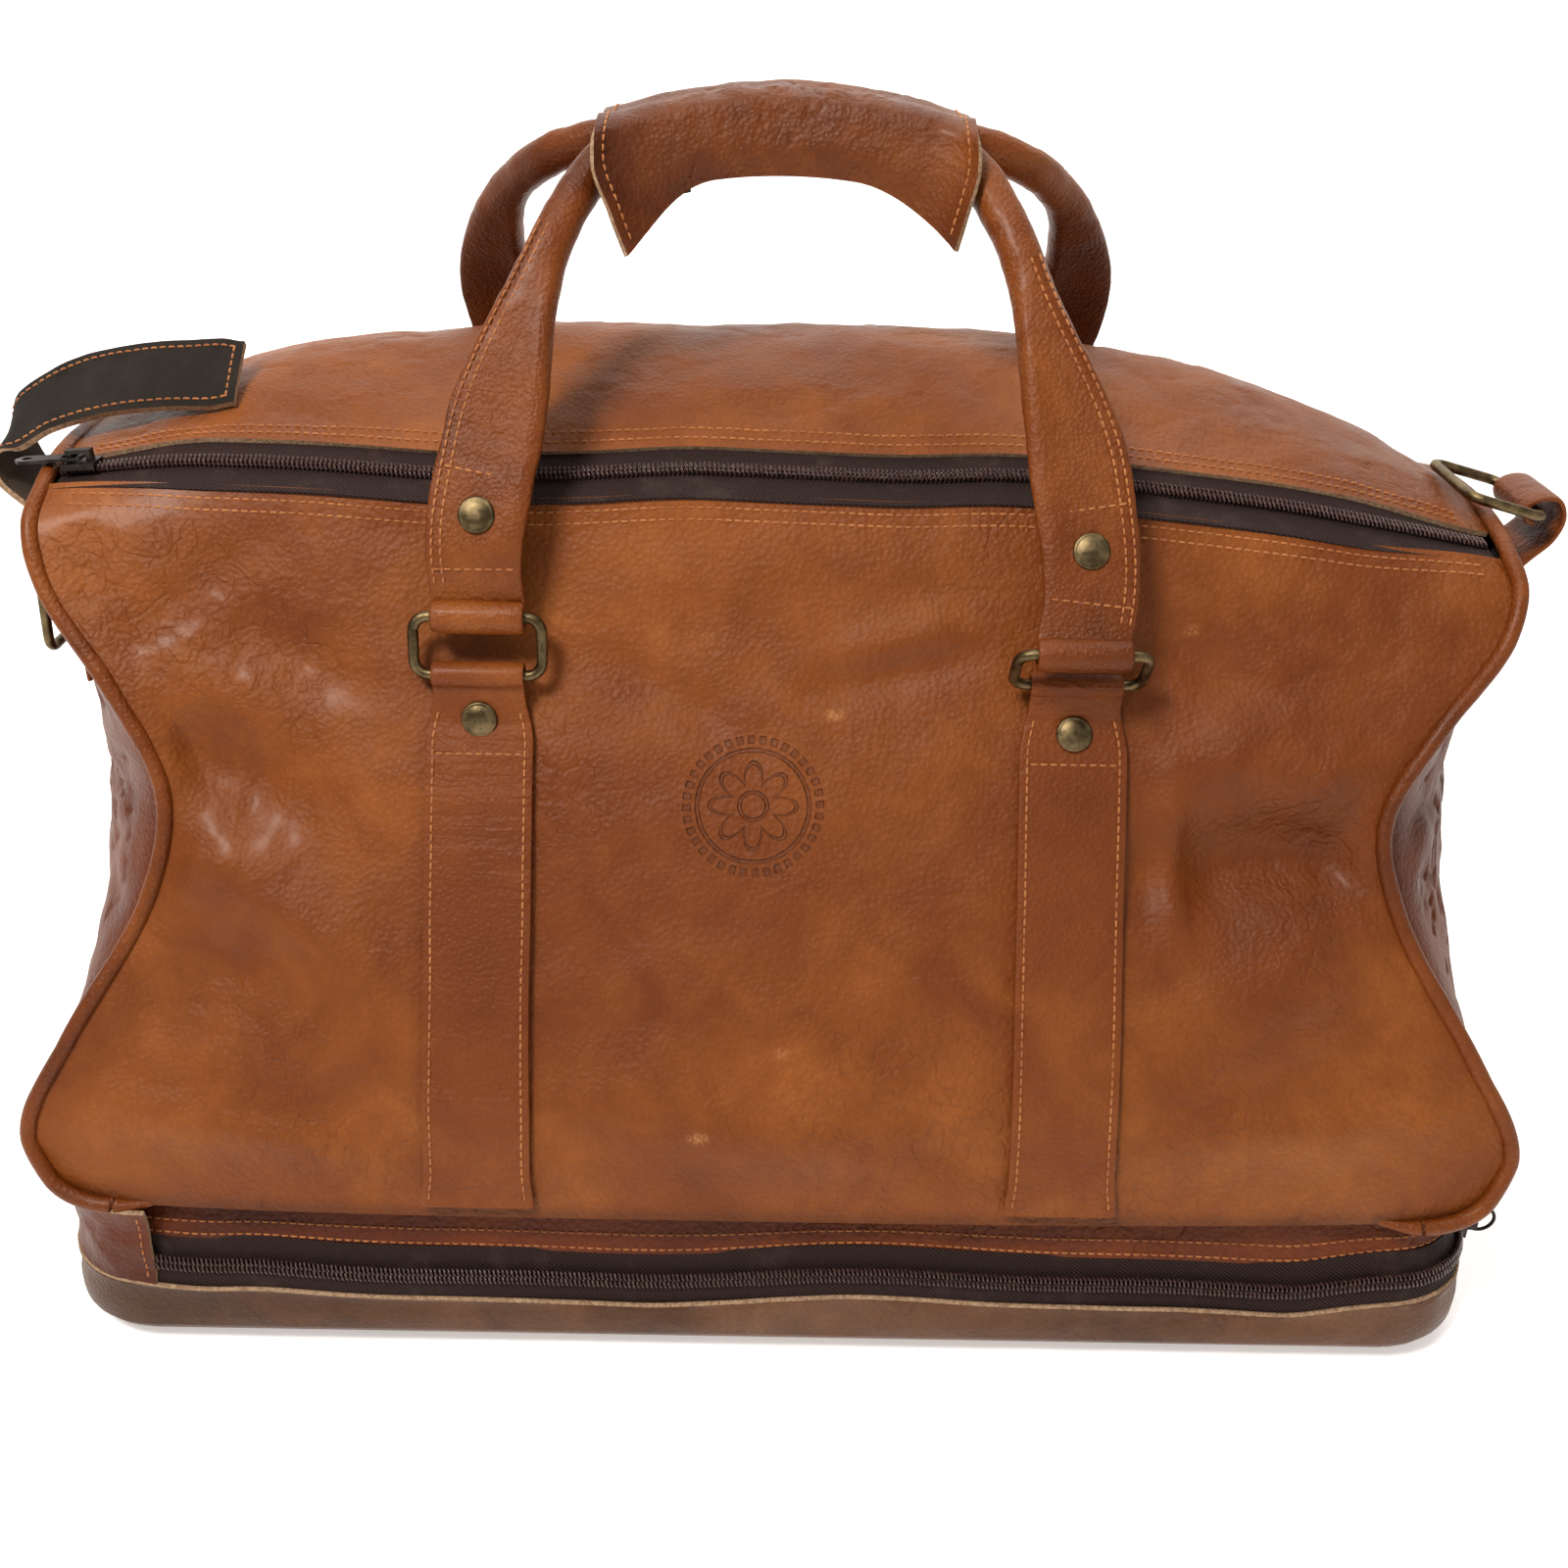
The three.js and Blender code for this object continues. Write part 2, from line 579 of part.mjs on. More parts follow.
// ---------------------------------------------------------------- grip wrap
// The wrap is sewn to the front handle and lies over both rolls. Its front skirt hangs free.
function gripCentre(face, x) {
  let [low, high] = [0.2, 0.8];
  for (let i = 0; i < 30; i++) {
    const t = (low + high) / 2;
    if (routes[face].getPointAt(t).x < x) low = t;
    else high = t;
  }
  return { ...routes[face].getPointAt(low), steep: 1 / routes[face].getTangentAt(low).x };
}
const wrapReach = gripRadius + 1.2 + leather;
const underGrip = at(0, 32, 380);
const wrapStations = steps(-wrapHalfLength, wrapHalfLength, 12).map((x) => {
  const front = gripCentre("front", x);
  const back = gripCentre("back", x);
  return { x, front, back, face: front.y - wrapReach * front.steep };
});
const wrapTop = wrapStations.map(({ x, front, back, face }) => {
  const [riseFront, riseBack] = [wrapReach * front.steep, wrapReach * back.steep];
  return [
    at(x, face, front.z - 2),
    at(x, face, front.z + 5),
    at(x, face + 0.35 * wrapReach, front.z + 0.8 * riseFront),
    at(x, front.y, front.z + riseFront),
    at(x, (front.y + back.y) / 2, (front.z + back.z + riseFront + riseBack) / 2),
    at(x, back.y, back.z + riseBack),
    at(x, back.y + 8, back.z + riseBack),
  ];
});
addPart("handle_wrap", sheet(wrapTop, leather, underGrip), "leather");
const skirtDrop = 24;
const skirtLap = 2.5;
const wrapSkirt = wrapStations.map(({ x, front, face }) => [
  at(x, face - skirtLap, front.z - 2.6),
  at(x, face - skirtLap - 0.8, front.z - skirtDrop / 2),
  at(x, face - skirtLap, front.z - skirtDrop),
]);
addPart("wrap_skirt", sheet(wrapSkirt, leather, underGrip), "leather");
const hookStrip = wrapStations.slice(1, 4).map(({ x, front, face }) => [
  at(x, face - skirtLap + leather + 1.5, front.z - skirtDrop * 0.6),
  at(x, face - skirtLap + leather + 1.8, front.z - skirtDrop * 0.92),
]);
addPart("wrap_hook_strip", sheet(hookStrip, 1, underGrip), "tape");

// ---------------------------------------------------------------- top zip
// A zip tape half with its coil, as a section in y and z swept along the zip's arc.
const tapeSection = [[6.2, -3], [0.4, -3], [0.4, 0], [2.6, 0], [3.4, -1.6], [6.2, -1.6]];
function zipTape(hand, from, to, count) {
  return loft(steps(from, to, count).map((x) =>
    tapeSection.map(([y, z]) => at(x, zipY + hand * y, zipHeight(x) + z))));
}
addPart("top_zip_tape_front", zipTape(-1, -zipEnd, zipEnd, 20), "tape");
const flapReach = 194;
addPart("top_zip_tape_back", zipTape(1, -flapReach, flapReach, 16), "tape");
addPart("top_zip_tape_end_left", zipTape(1, -zipEnd, -flapReach - 1, 4), "tape");
addPart("top_zip_tape_end_right", zipTape(1, flapReach + 1, zipEnd, 4), "tape");

// ---------------------------------------------------------------- sliders and pulls
// A slider lies along x with z outwards, and its bridge arches over the pull's cross bar.
function sliderBody() {
  const block = (sizeX, sizeY, sizeZ, x, z) => new THREE.BoxGeometry(sizeX, sizeY, sizeZ).translate(x, 0, z);
  return union(
    block(12, 9.5, 2.4, 0, 1.2),
    block(2, 3.6, 3.4, -3.6, 3.7),
    block(2, 3.6, 3.4, 3.6, 3.7),
    block(9.2, 3.6, 1.4, 0, 6),
  );
}

// The top slider is parked at the left end of its zip.
const sliderX = -254;
const sliderBase = zipHeight(sliderX) + 0.6;
const slope = Math.atan(zipHeight(sliderX + 0.5) - zipHeight(sliderX - 0.5));
const pullHinge = 3.7;
addPart("top_slider", sliderBody().rotateY(-slope).translate(sliderX, zipY, sliderBase), "black");

const pull = new THREE.Shape();
pull.moveTo(0.8, -2.9);
pull.lineTo(0.8, 2.9);
pull.lineTo(-20, 3.8);
pull.absarc(-20, 0, 3.8, Math.PI / 2, -Math.PI / 2, false);
pull.closePath();
const slot = new THREE.Path();
slot.moveTo(-0.9, -2.2);
slot.lineTo(-0.9, 2.2);
slot.lineTo(-6.6, 2.2);
slot.lineTo(-6.6, -2.2);
slot.closePath();
pull.holes.push(slot);
pull.holes.push(new THREE.Path().absarc(-19.5, 0, 1.8, 0, 2 * Math.PI));
const pullThickness = 1.2;
const plateShape = { depth: pullThickness, curveSegments: 8, bevelEnabled: false };
const pullPlate = new THREE.ExtrudeGeometry(pull, plateShape);
pullPlate.translate(0, 0, pullHinge - pullThickness / 2).rotateY(-slope).translate(sliderX, zipY, sliderBase);
addPart("top_pull", pullPlate, "black");

// The shoe compartment's two sliders are parked nose to nose at the front of the right end. Each
// has a plain wire ring for a pull.
const lowSliderX = baseHalfLength - 3.3;
const lowSliders = { front: baseCorner - baseHalfDepth - 0.5, back: baseCorner - baseHalfDepth + 13.5 };
const pullRing = 5.5;
const pullWire = 0.7;
for (const [place, y] of Object.entries(lowSliders)) {
  const slider = sliderBody().rotateZ(Math.PI / 2).rotateY(Math.PI / 2);
  addPart(`base_slider_${place}`, slider.translate(lowSliderX, y, tapeMeet), "black");
  const ring = new THREE.TorusGeometry(pullRing, pullWire, 6, 16).rotateX(Math.PI / 2);
  const ringX = lowSliderX + pullHinge + 0.15 + pullRing;
  addPart(`base_pull_${place}`, ring.translate(ringX, y, tapeMeet), "black");
}

// ---------------------------------------------------------------- shoulder tabs and rings
const tabY = 12;
const tabWidth = 33;
const shoulderRing = { length: 50, height: 34 };
const alongY = at(0, 1, 0);
const bandInXZ = (list, across) => {
  const route = curveThrough(list.map(([x, z]) => [x, tabY, z]));
  return bandAlong(steps(0, 1, 20).map((t) => ({
    centre: route.getPointAt(t), across: across(t), width: tabWidth, thickness: strapLeather,
  })));
};
const level = () => alongY;

// On the right the ring's keeper leaves the end panel, bows outwards and turns over the ring's bar.
const rightBar = { x: 288, z: 292 };
const keeperRight = [[277, 230], [278.5, 255], [286, 270], [296, 281], [298.6, 290], [295, 296.5],
  [288, 296.6], [283.7, 293.4], [284.6, 288.6], [287.4, 287.2]];
addPart("ring_keeper_right", bandInXZ(keeperRight, level), "leather");
const rightLean = at(-0.966, 0, 0.259);
const rightPlace = (a, b, c) => at(
  rightBar.x + rightLean.x * b + rightLean.z * c, tabY + a, rightBar.z + rightLean.z * b - rightLean.x * c);
addPart("ring_right", wireRing(shoulderRing.length, shoulderRing.height, ringWire, rightPlace), "brass");

// On the left the ring hangs down outside, and the loose tab is turned up and over the zip's end.
const leftBar = { x: -285.5, z: 258 };
const keeperLeft = [[-276.8, 212], [-277.5, 238], [-278.5, 250], [-281.2, 257], [-283.5, 261.2],
  [-287.5, 261.2], [-289.6, 257.6], [-287.8, 254.2], [-284.6, 253.4]];
addPart("ring_keeper_left", bandInXZ(keeperLeft, level), "leather");
addPart("ring_left", wireRing(shoulderRing.length, shoulderRing.height, ringWire, (a, b, c) =>
  at(leftBar.x - 0.05 * b - c, tabY + a, leftBar.z - b)), "brass");
const tabRoute = [[-279.5, 274], [-286, 283], [-295.5, 296], [-296, 308], [-284, 318], [-266, 326],
  [-243, 331], [-205, 333]];
const tabTilt = at(0, 0.82, 0.57);
const tilting = (t) => alongY.clone().lerp(tabTilt, THREE.MathUtils.smoothstep(t, 0.08, 0.35));
addPart("tab_left", bandInXZ(tabRoute, tilting), "darkLeather");

export default bag;
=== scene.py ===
import math

import bpy
import numpy as np
from mathutils import Matrix, Vector, noise


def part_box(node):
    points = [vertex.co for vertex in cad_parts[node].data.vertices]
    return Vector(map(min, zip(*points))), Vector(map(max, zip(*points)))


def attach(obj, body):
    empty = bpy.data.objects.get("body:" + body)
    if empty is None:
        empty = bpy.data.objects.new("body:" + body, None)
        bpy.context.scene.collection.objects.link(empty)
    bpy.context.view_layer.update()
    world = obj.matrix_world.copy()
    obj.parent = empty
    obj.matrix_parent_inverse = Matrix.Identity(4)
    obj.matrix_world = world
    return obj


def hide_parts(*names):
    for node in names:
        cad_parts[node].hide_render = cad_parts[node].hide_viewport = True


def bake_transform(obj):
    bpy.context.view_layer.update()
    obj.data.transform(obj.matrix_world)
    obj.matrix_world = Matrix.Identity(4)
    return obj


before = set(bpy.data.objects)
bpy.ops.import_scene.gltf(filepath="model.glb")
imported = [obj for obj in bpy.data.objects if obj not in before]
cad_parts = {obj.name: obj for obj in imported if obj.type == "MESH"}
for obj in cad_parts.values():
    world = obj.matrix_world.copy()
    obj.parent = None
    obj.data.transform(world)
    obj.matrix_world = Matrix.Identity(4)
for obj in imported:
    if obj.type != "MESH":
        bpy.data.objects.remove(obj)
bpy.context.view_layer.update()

MM = 0.001
leather = 2.0


# ------------------------------------------------------------------ curves and the bag's surface (mm)
def smooth(t, low=0.0, high=1.0):
    t = np.clip((np.asarray(t, float) - low) / (high - low), 0, 1)
    return t * t * (3 - 2 * t)


def unit(v):
    return v / np.maximum(np.linalg.norm(v, axis=-1, keepdims=True), 1e-9)


class Route:
    """A centripetal curve through points, read by its share of the whole length."""

    def __init__(self, points, per_span=40):
        p = np.array(points, float)
        q = np.vstack([2 * p[0] - p[1], p, 2 * p[-1] - p[-2]])
        samples = []
        for i in range(len(p) - 1):
            p0, p1, p2, p3 = q[i:i + 4]
            t1 = np.linalg.norm(p1 - p0) ** 0.5
            t2 = t1 + np.linalg.norm(p2 - p1) ** 0.5
            t3 = t2 + np.linalg.norm(p3 - p2) ** 0.5
            t = np.linspace(t1, t2, per_span, endpoint=False)[:, None]
            a1 = (t1 - t) / t1 * p0 + t / t1 * p1
            a2 = (t2 - t) / (t2 - t1) * p1 + (t - t1) / (t2 - t1) * p2
            a3 = (t3 - t) / (t3 - t2) * p2 + (t - t2) / (t3 - t2) * p3
            b1 = (t2 - t) / t2 * a1 + t / t2 * a2
            b2 = (t3 - t) / (t3 - t1) * a2 + (t - t1) / (t3 - t1) * a3
            samples.append((t2 - t) / (t2 - t1) * b1 + (t - t1) / (t2 - t1) * b2)
        self.points = np.vstack(samples + [p[-1:]])
        lengths = np.linalg.norm(np.diff(self.points, axis=0), axis=1)
        self.reach = np.concatenate([[0], np.cumsum(lengths)])
        self.length = self.reach[-1]

    def at(self, share):
        d = np.clip(np.asarray(share, float), 0, 1) * self.length
        return np.stack([np.interp(d, self.reach, self.points[:, k]) for k in range(3)], -1)


def tangents(path, closed=False):
    if closed:
        return unit(np.roll(path, -1, 0) - np.roll(path, 1, 0))
    return unit(np.gradient(path, axis=0))


zip_y = -27.0
zip_front, zip_back = zip_y - 9, zip_y + 9
middle_runs = {
    "front": [[0, -143, 62], [0, -131, 105], [0, -106, 160], [0, -80, 213], [0, -60, 250], [0, -46, 285],
              [0, zip_front, 311]],
    "top": [[0, zip_back, 314], [0, 15, 333], [0, 48, 343], [0, 80, 339], [0, 110, 322]],
    "back": [[0, 113, 318.5], [0, 127, 282], [0, 134, 243], [0, 139, 165], [0, 142, 105], [0, 141.4, 62]],
}
end_runs = {
    "front": [[271, -136, 62], [273, -131, 90], [256, -121, 122], [228, -98, 168], [221, -86, 200],
              [238, -75, 232], [261, -61, 260], [267, -50, 277], [266, zip_front, 286]],
    "top": [[267, zip_back, 290], [270, 15, 291], [271, 50, 289], [270, 84, 282], [267, 106, 271]],
    "back": [[266, 109.5, 267.5], [260, 121, 240], [236, 126, 205], [226, 129, 172], [250, 135, 118],
             [268, 137, 85], [266, 134, 62]],
}
# How late the section changes from the middle's to the end's, for each end.
falloff = {-1: 4.2, 1: 2.8}


def lifted(z):
    """The left end stands higher than the right one."""
    return z + 17 * min(max((z - 170) / 120, 0), 1)


middle = {run: Route(points) for run, points in middle_runs.items()}
ends = {
    1: {run: Route(points) for run, points in end_runs.items()},
    -1: {run: Route([[x, y, lifted(z)] for x, y, z in points]) for run, points in end_runs.items()},
}
# The arc that the top zip lies along.
circle_x, circle_z, circle_r = -80.11487, -1912.98387, 2226.42575


def zip_height(x):
    return circle_z + np.sqrt(circle_r ** 2 - (np.asarray(x, float) - circle_x) ** 2)


# The zip lies tilted towards the front: its front edge is lower than its back edge.
edge_lift = {"front": -7.0, "top": 5.0}


def zip_tilt(x):
    return 1 - 0.65 * smooth(np.abs(x), 205, 262)


# The worn zip sags and rises along its length, in mm.
wave_x = np.linspace(-290, 290, 581)
wave_knots = [(-290, 0), (-262, 0), (-220, 2.2), (-174, -0.3), (-121, -5.2), (-74, -4.6), (-34, -1.3),
              (0, -1.7), (45, -1.2), (83, 3.1), (120, 3.6), (185, 3.7), (235, 1.2), (262, 0), (290, 0)]
window = np.hanning(47)
wave_z = np.convolve(np.interp(wave_x, *zip(*wave_knots)), window / window.sum(), "same")


def zip_wave(x):
    return np.interp(x, wave_x, wave_z)


def raw_shell(run, u, s):
    """A point of the bag's surface: u runs from -1 at the left end to 1, and s up the run from 0 to 1."""
    u, s = np.broadcast_arrays(np.asarray(u, float), np.asarray(s, float))
    m = middle[run].at(s)
    left, right = ends[-1][run].at(s), ends[1][run].at(s)
    e = np.where((u < 0)[..., None], left, right)
    w = np.abs(u) ** np.where(u < 0, falloff[-1], falloff[1])
    return np.stack([u * e[..., 0], m[..., 1] + (e[..., 1] - m[..., 1]) * w,
                     m[..., 2] + (e[..., 2] - m[..., 2]) * w], -1)


def shell(run, u, s):
    """The same, with the edges at the mouth drawn onto the zip's line."""
    p = raw_shell(run, u, s)
    if run == "back":
        return p
    edge = raw_shell(run, u, np.full_like(np.asarray(s, float), 1.0 if run == "front" else 0.0))
    near = (np.asarray(s, float) if run == "front" else 1 - np.asarray(s, float)) ** 4
    x = edge[..., 0]
    p[..., 2] += (zip_height(x) - edge[..., 2] + edge_lift[run] * zip_tilt(x) + zip_wave(x)) * near
    return p


def shell_at_x(run, x, s):
    x = np.asarray(x, float)
    width = np.where(x < 0, ends[-1][run].at(s)[..., 0], ends[1][run].at(s)[..., 0])
    return shell(run, x / width, s)


core = np.array([0, 20, 180.0])


def grid_normals(grid, towards=core):
    n = unit(np.cross(np.gradient(grid, axis=0), np.gradient(grid, axis=1)))
    if (n * (grid - towards)).sum() < 0:
        n = -n
    return n


def even(path, count, closed=False):
    """The same path through that many points, evenly spaced."""
    path = np.vstack([path, path[:1]]) if closed else path
    d = np.concatenate([[0], np.cumsum(np.linalg.norm(np.diff(path, axis=0), axis=1))])
    at = np.linspace(0, d[-1], count + 1)[:-1] if closed else np.linspace(0, d[-1], count)
    return np.stack([np.interp(at, d, path[:, k]) for k in range(3)], -1)


# ------------------------------------------------------------------ noise in space
def ripple(points, scale, seed, octaves=4):
    """Smooth fractal noise at each point, about -1 to 1. scale is the size of a wave in mm."""
    flat = np.asarray(points, float).reshape(-1, 3) / scale + seed * 7.31
    values = [noise.fractal(Vector(p), 0.6, 2.0, octaves) for p in flat]
    return np.array(values).reshape(np.asarray(points).shape[:-1])


def creases(points, scale, seed):
    """Thin valleys along wandering lines, 0 to -1."""
    a = np.abs(ripple(points, scale, seed, 3))
    return -np.exp(-(a / 0.055) ** 2)


def near_segment(p, a, b, width):
    """Falls from 1 on the segment a-b to 0 away from it, for 2-D points p."""
    a, b = np.array(a, float), np.array(b, float)
    d = b - a
    t = np.clip(((p - a) @ d) / (d @ d), 0, 1)
    gap = np.linalg.norm(p - (a + t[..., None] * d), axis=-1)
    taper = smooth(t, -0.05, 0.25) * (1 - smooth(t, 0.7, 1.08)) * 0.6 + 0.4
    return np.exp(-(gap / width) ** 2) * taper


# ------------------------------------------------------------------ mesh building
def circles(path, radius, wide, deep, sides):
    """A circle of points round each point of a path."""
    a = np.linspace(0, 2 * np.pi, sides, endpoint=False)
    turn = np.cos(a)[None, :, None] * wide[:, None] + np.sin(a)[None, :, None] * deep[:, None]
    return path[:, None] + radius[:, None, None] * turn


class Shape:
    """Collects grids and tubes, in mm, and makes them one mesh in metres."""

    def __init__(self):
        self.points = []
        self.faces = []
        self.slots = []
        self.wear_and_shade = []
        self.count = 0

    def add(self, points, wear_and_shade=None):
        points = np.asarray(points, float).reshape(-1, 3)
        start = self.count
        self.points.append(points)
        self.wear_and_shade.append(np.zeros(len(points)) if wear_and_shade is None else np.asarray(wear_and_shade, float).reshape(-1))
        self.count += len(points)
        return start

    def face(self, indices, slot):
        self.faces.append(tuple(int(i) for i in indices))
        self.slots.append(slot)

    def quads(self, start, rows, columns, slot, flip=False, row_loop=False, column_loop=False):
        for i in range(rows if row_loop else rows - 1):
            for j in range(columns if column_loop else columns - 1):
                a = start + i * columns + j
                b = start + i * columns + (j + 1) % columns
                c = start + ((i + 1) % rows) * columns + (j + 1) % columns
                d = start + ((i + 1) % rows) * columns + j
                self.face((d, c, b, a) if flip else (a, b, c, d), slot)

    def sheet(self, grid, thickness=leather, skin=0, lining=1, rim=2, towards=core, wear_and_shade=None, normals=None):
        """A leather sheet with its own thickness. Skin, lining and cut rim have their own materials."""
        rows, columns = grid.shape[:2]
        n = grid_normals(grid, towards) if normals is None else normals
        outer = self.add(grid, wear_and_shade)
        inner = self.add(grid - n * thickness)
        a, b, c = grid[0, 0], grid[0, 1], grid[1, 1]
        flip = np.dot(np.cross(b - a, c - b), n[0, 0]) < 0
        self.quads(outer, rows, columns, skin, flip)
        self.quads(inner, rows, columns, lining, not flip)
        edge = [(0, j) for j in range(columns)] + [(i, columns - 1) for i in range(1, rows)]
        edge += [(rows - 1, j) for j in range(columns - 2, -1, -1)] + [(i, 0) for i in range(rows - 2, 0, -1)]
        ids = [i * columns + j for i, j in edge]
        for k, first in enumerate(ids):
            second = ids[(k + 1) % len(ids)]
            quad = (outer + second, outer + first, inner + first, inner + second)
            self.face(quad[::-1] if flip else quad, rim)
        return n

    def rings(self, rings, slot=0, loop=False, wear_and_shade=None):
        """A solid through closed rings of points."""
        rings = np.asarray(rings, float)
        rows, columns = rings.shape[:2]
        start = self.add(rings, wear_and_shade)
        centre = rings[0].mean(0)
        ahead = rings[1].mean(0) - centre
        flip = np.dot(np.cross(rings[0, 0] - centre, rings[0, 1] - centre), ahead) < 0
        self.quads(start, rows, columns, slot, not flip, row_loop=loop, column_loop=True)
        if not loop:
            first = [start + j for j in range(columns)]
            last = [start + (rows - 1) * columns + j for j in range(columns)]
            self.face(first if flip else first[::-1], slot)
            self.face(last[::-1] if flip else last, slot)

    def tube(self, path, radius, sides=10, slot=0, loop=False, up=(0.13, 0.31, 0.94)):
        path = np.asarray(path, float)
        t = tangents(path, loop)
        wide = unit(np.cross(t, np.array(up, float)))
        deep = np.cross(t, wide)
        radius = np.broadcast_to(np.asarray(radius, float), (len(path),))
        self.rings(circles(path, radius, wide, deep, sides), slot, loop)

    def stitches(self, path, normal, slot, pitch=3.4, length=2.6, radius=0.42, lift=0.12):
        """A row of thread stitches along a path that lies on a surface."""
        path, normal = np.asarray(path, float), np.asarray(normal, float)
        reach = np.concatenate([[0], np.cumsum(np.linalg.norm(np.diff(path, axis=0), axis=1))])
        count = int(reach[-1] // pitch)
        at = lambda d, rows: np.stack([np.interp(d, reach, rows[:, k]) for k in range(3)], -1)
        for i in range(count):
            d = (i + 0.5) * reach[-1] / max(count, 1)
            along = d + np.array([-0.5, -0.36, 0.0, 0.36, 0.5]) * length
            p, n = at(along, path), unit(at(along, normal))
            sink = np.array([-0.32, -0.05, 0.06, -0.05, -0.32])[:, None]
            p = p + n * (lift + sink)
            t = unit(np.gradient(p, axis=0))
            side = unit(np.cross(t, n))
            swell = radius * np.array([0.45, 0.9, 1.0, 0.9, 0.45])
            self.rings(circles(p, swell, side, n, 6), slot)

    def build(self, name, looks):
        mesh = bpy.data.meshes.new(name)
        mesh.from_pydata((np.vstack(self.points) * MM).tolist(), [], self.faces)
        for look in looks:
            mesh.materials.append(look)
        mesh.polygons.foreach_set("material_index", self.slots)
        mesh.polygons.foreach_set("use_smooth", [True] * len(self.faces))
        wear_and_shade = mesh.attributes.new("wear_and_shade", "FLOAT", "POINT")
        wear_and_shade.data.foreach_set("value", np.concatenate(self.wear_and_shade).astype(np.float32))
        mesh.validate()
        mesh.set_sharp_from_angle(angle=math.radians(50))
        obj = bpy.data.objects.new(name, mesh)
        bpy.context.scene.collection.objects.link(obj)
        return obj


def place(obj, body, slot, *nodes):
    """The piece rides on a body and stands in for those nodes."""
    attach(obj, body)
    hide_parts(*nodes)
    return obj


# ------------------------------------------------------------------ materials
class Look:
    """A procedural material: a small helper round its nodes."""

    def __init__(self, name, metallic=0.0, coat=0.0, coat_roughness=0.3, sheen=0.0, specular=0.5):
        self.material = bpy.data.materials.new(name)
        self.material.use_nodes = True
        self.tree = self.material.node_tree
        self.tree.nodes.clear()
        self.out = self.tree.nodes.new("ShaderNodeOutputMaterial")
        self.shader = self.tree.nodes.new("ShaderNodeBsdfPrincipled")
        self.tree.links.new(self.shader.outputs[0], self.out.inputs[0])
        self.shader.inputs["Metallic"].default_value = metallic
        self.shader.inputs["Coat Weight"].default_value = coat
        self.shader.inputs["Coat Roughness"].default_value = coat_roughness
        self.shader.inputs["Sheen Weight"].default_value = sheen
        self.shader.inputs["IOR"].default_value = 1.45
        self.shader.inputs["Specular IOR Level"].default_value = specular
        self.where = self.tree.nodes.new("ShaderNodeTexCoord").outputs["Object"]

    def put(self, socket, value):
        if isinstance(value, (int, float)):
            socket.default_value = value
        elif isinstance(value, tuple):
            socket.default_value = value + (1.0,) if len(value) == 3 and socket.type == "RGBA" else value
        else:
            self.tree.links.new(value, socket)

    def calc(self, kind, a, b=0.0, c=0.0, clamp=False):
        node = self.tree.nodes.new("ShaderNodeMath")
        node.operation = kind
        node.use_clamp = clamp
        for socket, value in zip(node.inputs, (a, b, c)):
            self.put(socket, value)
        return node.outputs[0]

    def times(self, a, b, clamp=False):
        return self.calc("MULTIPLY", a, b, clamp=clamp)

    def plus(self, a, b, clamp=False):
        return self.calc("ADD", a, b, clamp=clamp)

    def vector(self, kind, a, b=(0.0, 0.0, 0.0)):
        node = self.tree.nodes.new("ShaderNodeVectorMath")
        node.operation = kind
        self.put(node.inputs[0], a)
        self.put(node.inputs[1], b)
        return node.outputs["Value" if kind in ("DOT_PRODUCT", "LENGTH") else "Vector"]

    def stretched(self, x, y, z):
        return self.vector("MULTIPLY", self.where, (float(x), float(y), float(z)))

    def noise(self, scale, detail=3.0, rough=0.55, distortion=0.0, where=None):
        node = self.tree.nodes.new("ShaderNodeTexNoise")
        self.put(node.inputs["Vector"], where or self.where)
        node.inputs["Scale"].default_value = scale
        node.inputs["Detail"].default_value = detail
        node.inputs["Roughness"].default_value = rough
        node.inputs["Distortion"].default_value = distortion
        return node.outputs[0]

    def cells(self, scale, smoothness):
        node = self.tree.nodes.new("ShaderNodeTexVoronoi")
        node.feature = "SMOOTH_F1"
        self.put(node.inputs["Vector"], self.where)
        node.inputs["Scale"].default_value = scale
        node.inputs["Smoothness"].default_value = smoothness
        return node.outputs["Distance"]

    def span(self, value, low, high, to_low=0.0, to_high=1.0):
        node = self.tree.nodes.new("ShaderNodeMapRange")
        node.interpolation_type = "SMOOTHSTEP"
        for socket, v in zip(node.inputs, (value, low, high, to_low, to_high)):
            self.put(socket, v)
        return node.outputs[0]

    def mix(self, share, a, b):
        node = self.tree.nodes.new("ShaderNodeMix")
        node.data_type = "RGBA"
        self.put(node.inputs[0], share)
        self.put(node.inputs[6], a)
        self.put(node.inputs[7], b)
        return node.outputs[2]

    def attribute(self, name):
        node = self.tree.nodes.new("ShaderNodeAttribute")
        node.attribute_name = name
        return node.outputs["Fac"]

    def bump(self, height, distance, strength=1.0, under=None):
        node = self.tree.nodes.new("ShaderNodeBump")
        node.inputs["Strength"].default_value = strength
        node.inputs["Distance"].default_value = distance
        self.put(node.inputs["Height"], height)
        if under is not None:
            self.put(node.inputs["Normal"], under)
        return node.outputs[0]

    def finish(self, color, roughness, normal=None):
        self.put(self.shader.inputs["Base Color"], color)
        self.put(self.shader.inputs["Roughness"], roughness)
        if normal is not None:
            self.put(self.shader.inputs["Normal"], normal)
        return self.material


def color_noise(look, scale):
    node = look.tree.nodes.new("ShaderNodeTexNoise")
    look.put(node.inputs["Vector"], look.where)
    node.inputs["Scale"].default_value = scale
    node.inputs["Detail"].default_value = 3.0
    return look.vector("SUBTRACT", node.outputs["Color"], (0.5, 0.5, 0.5))


emblem_middle = (-0.008, -0.085, 0.203)
panel_up = (0.0, 0.4755, 0.8797)


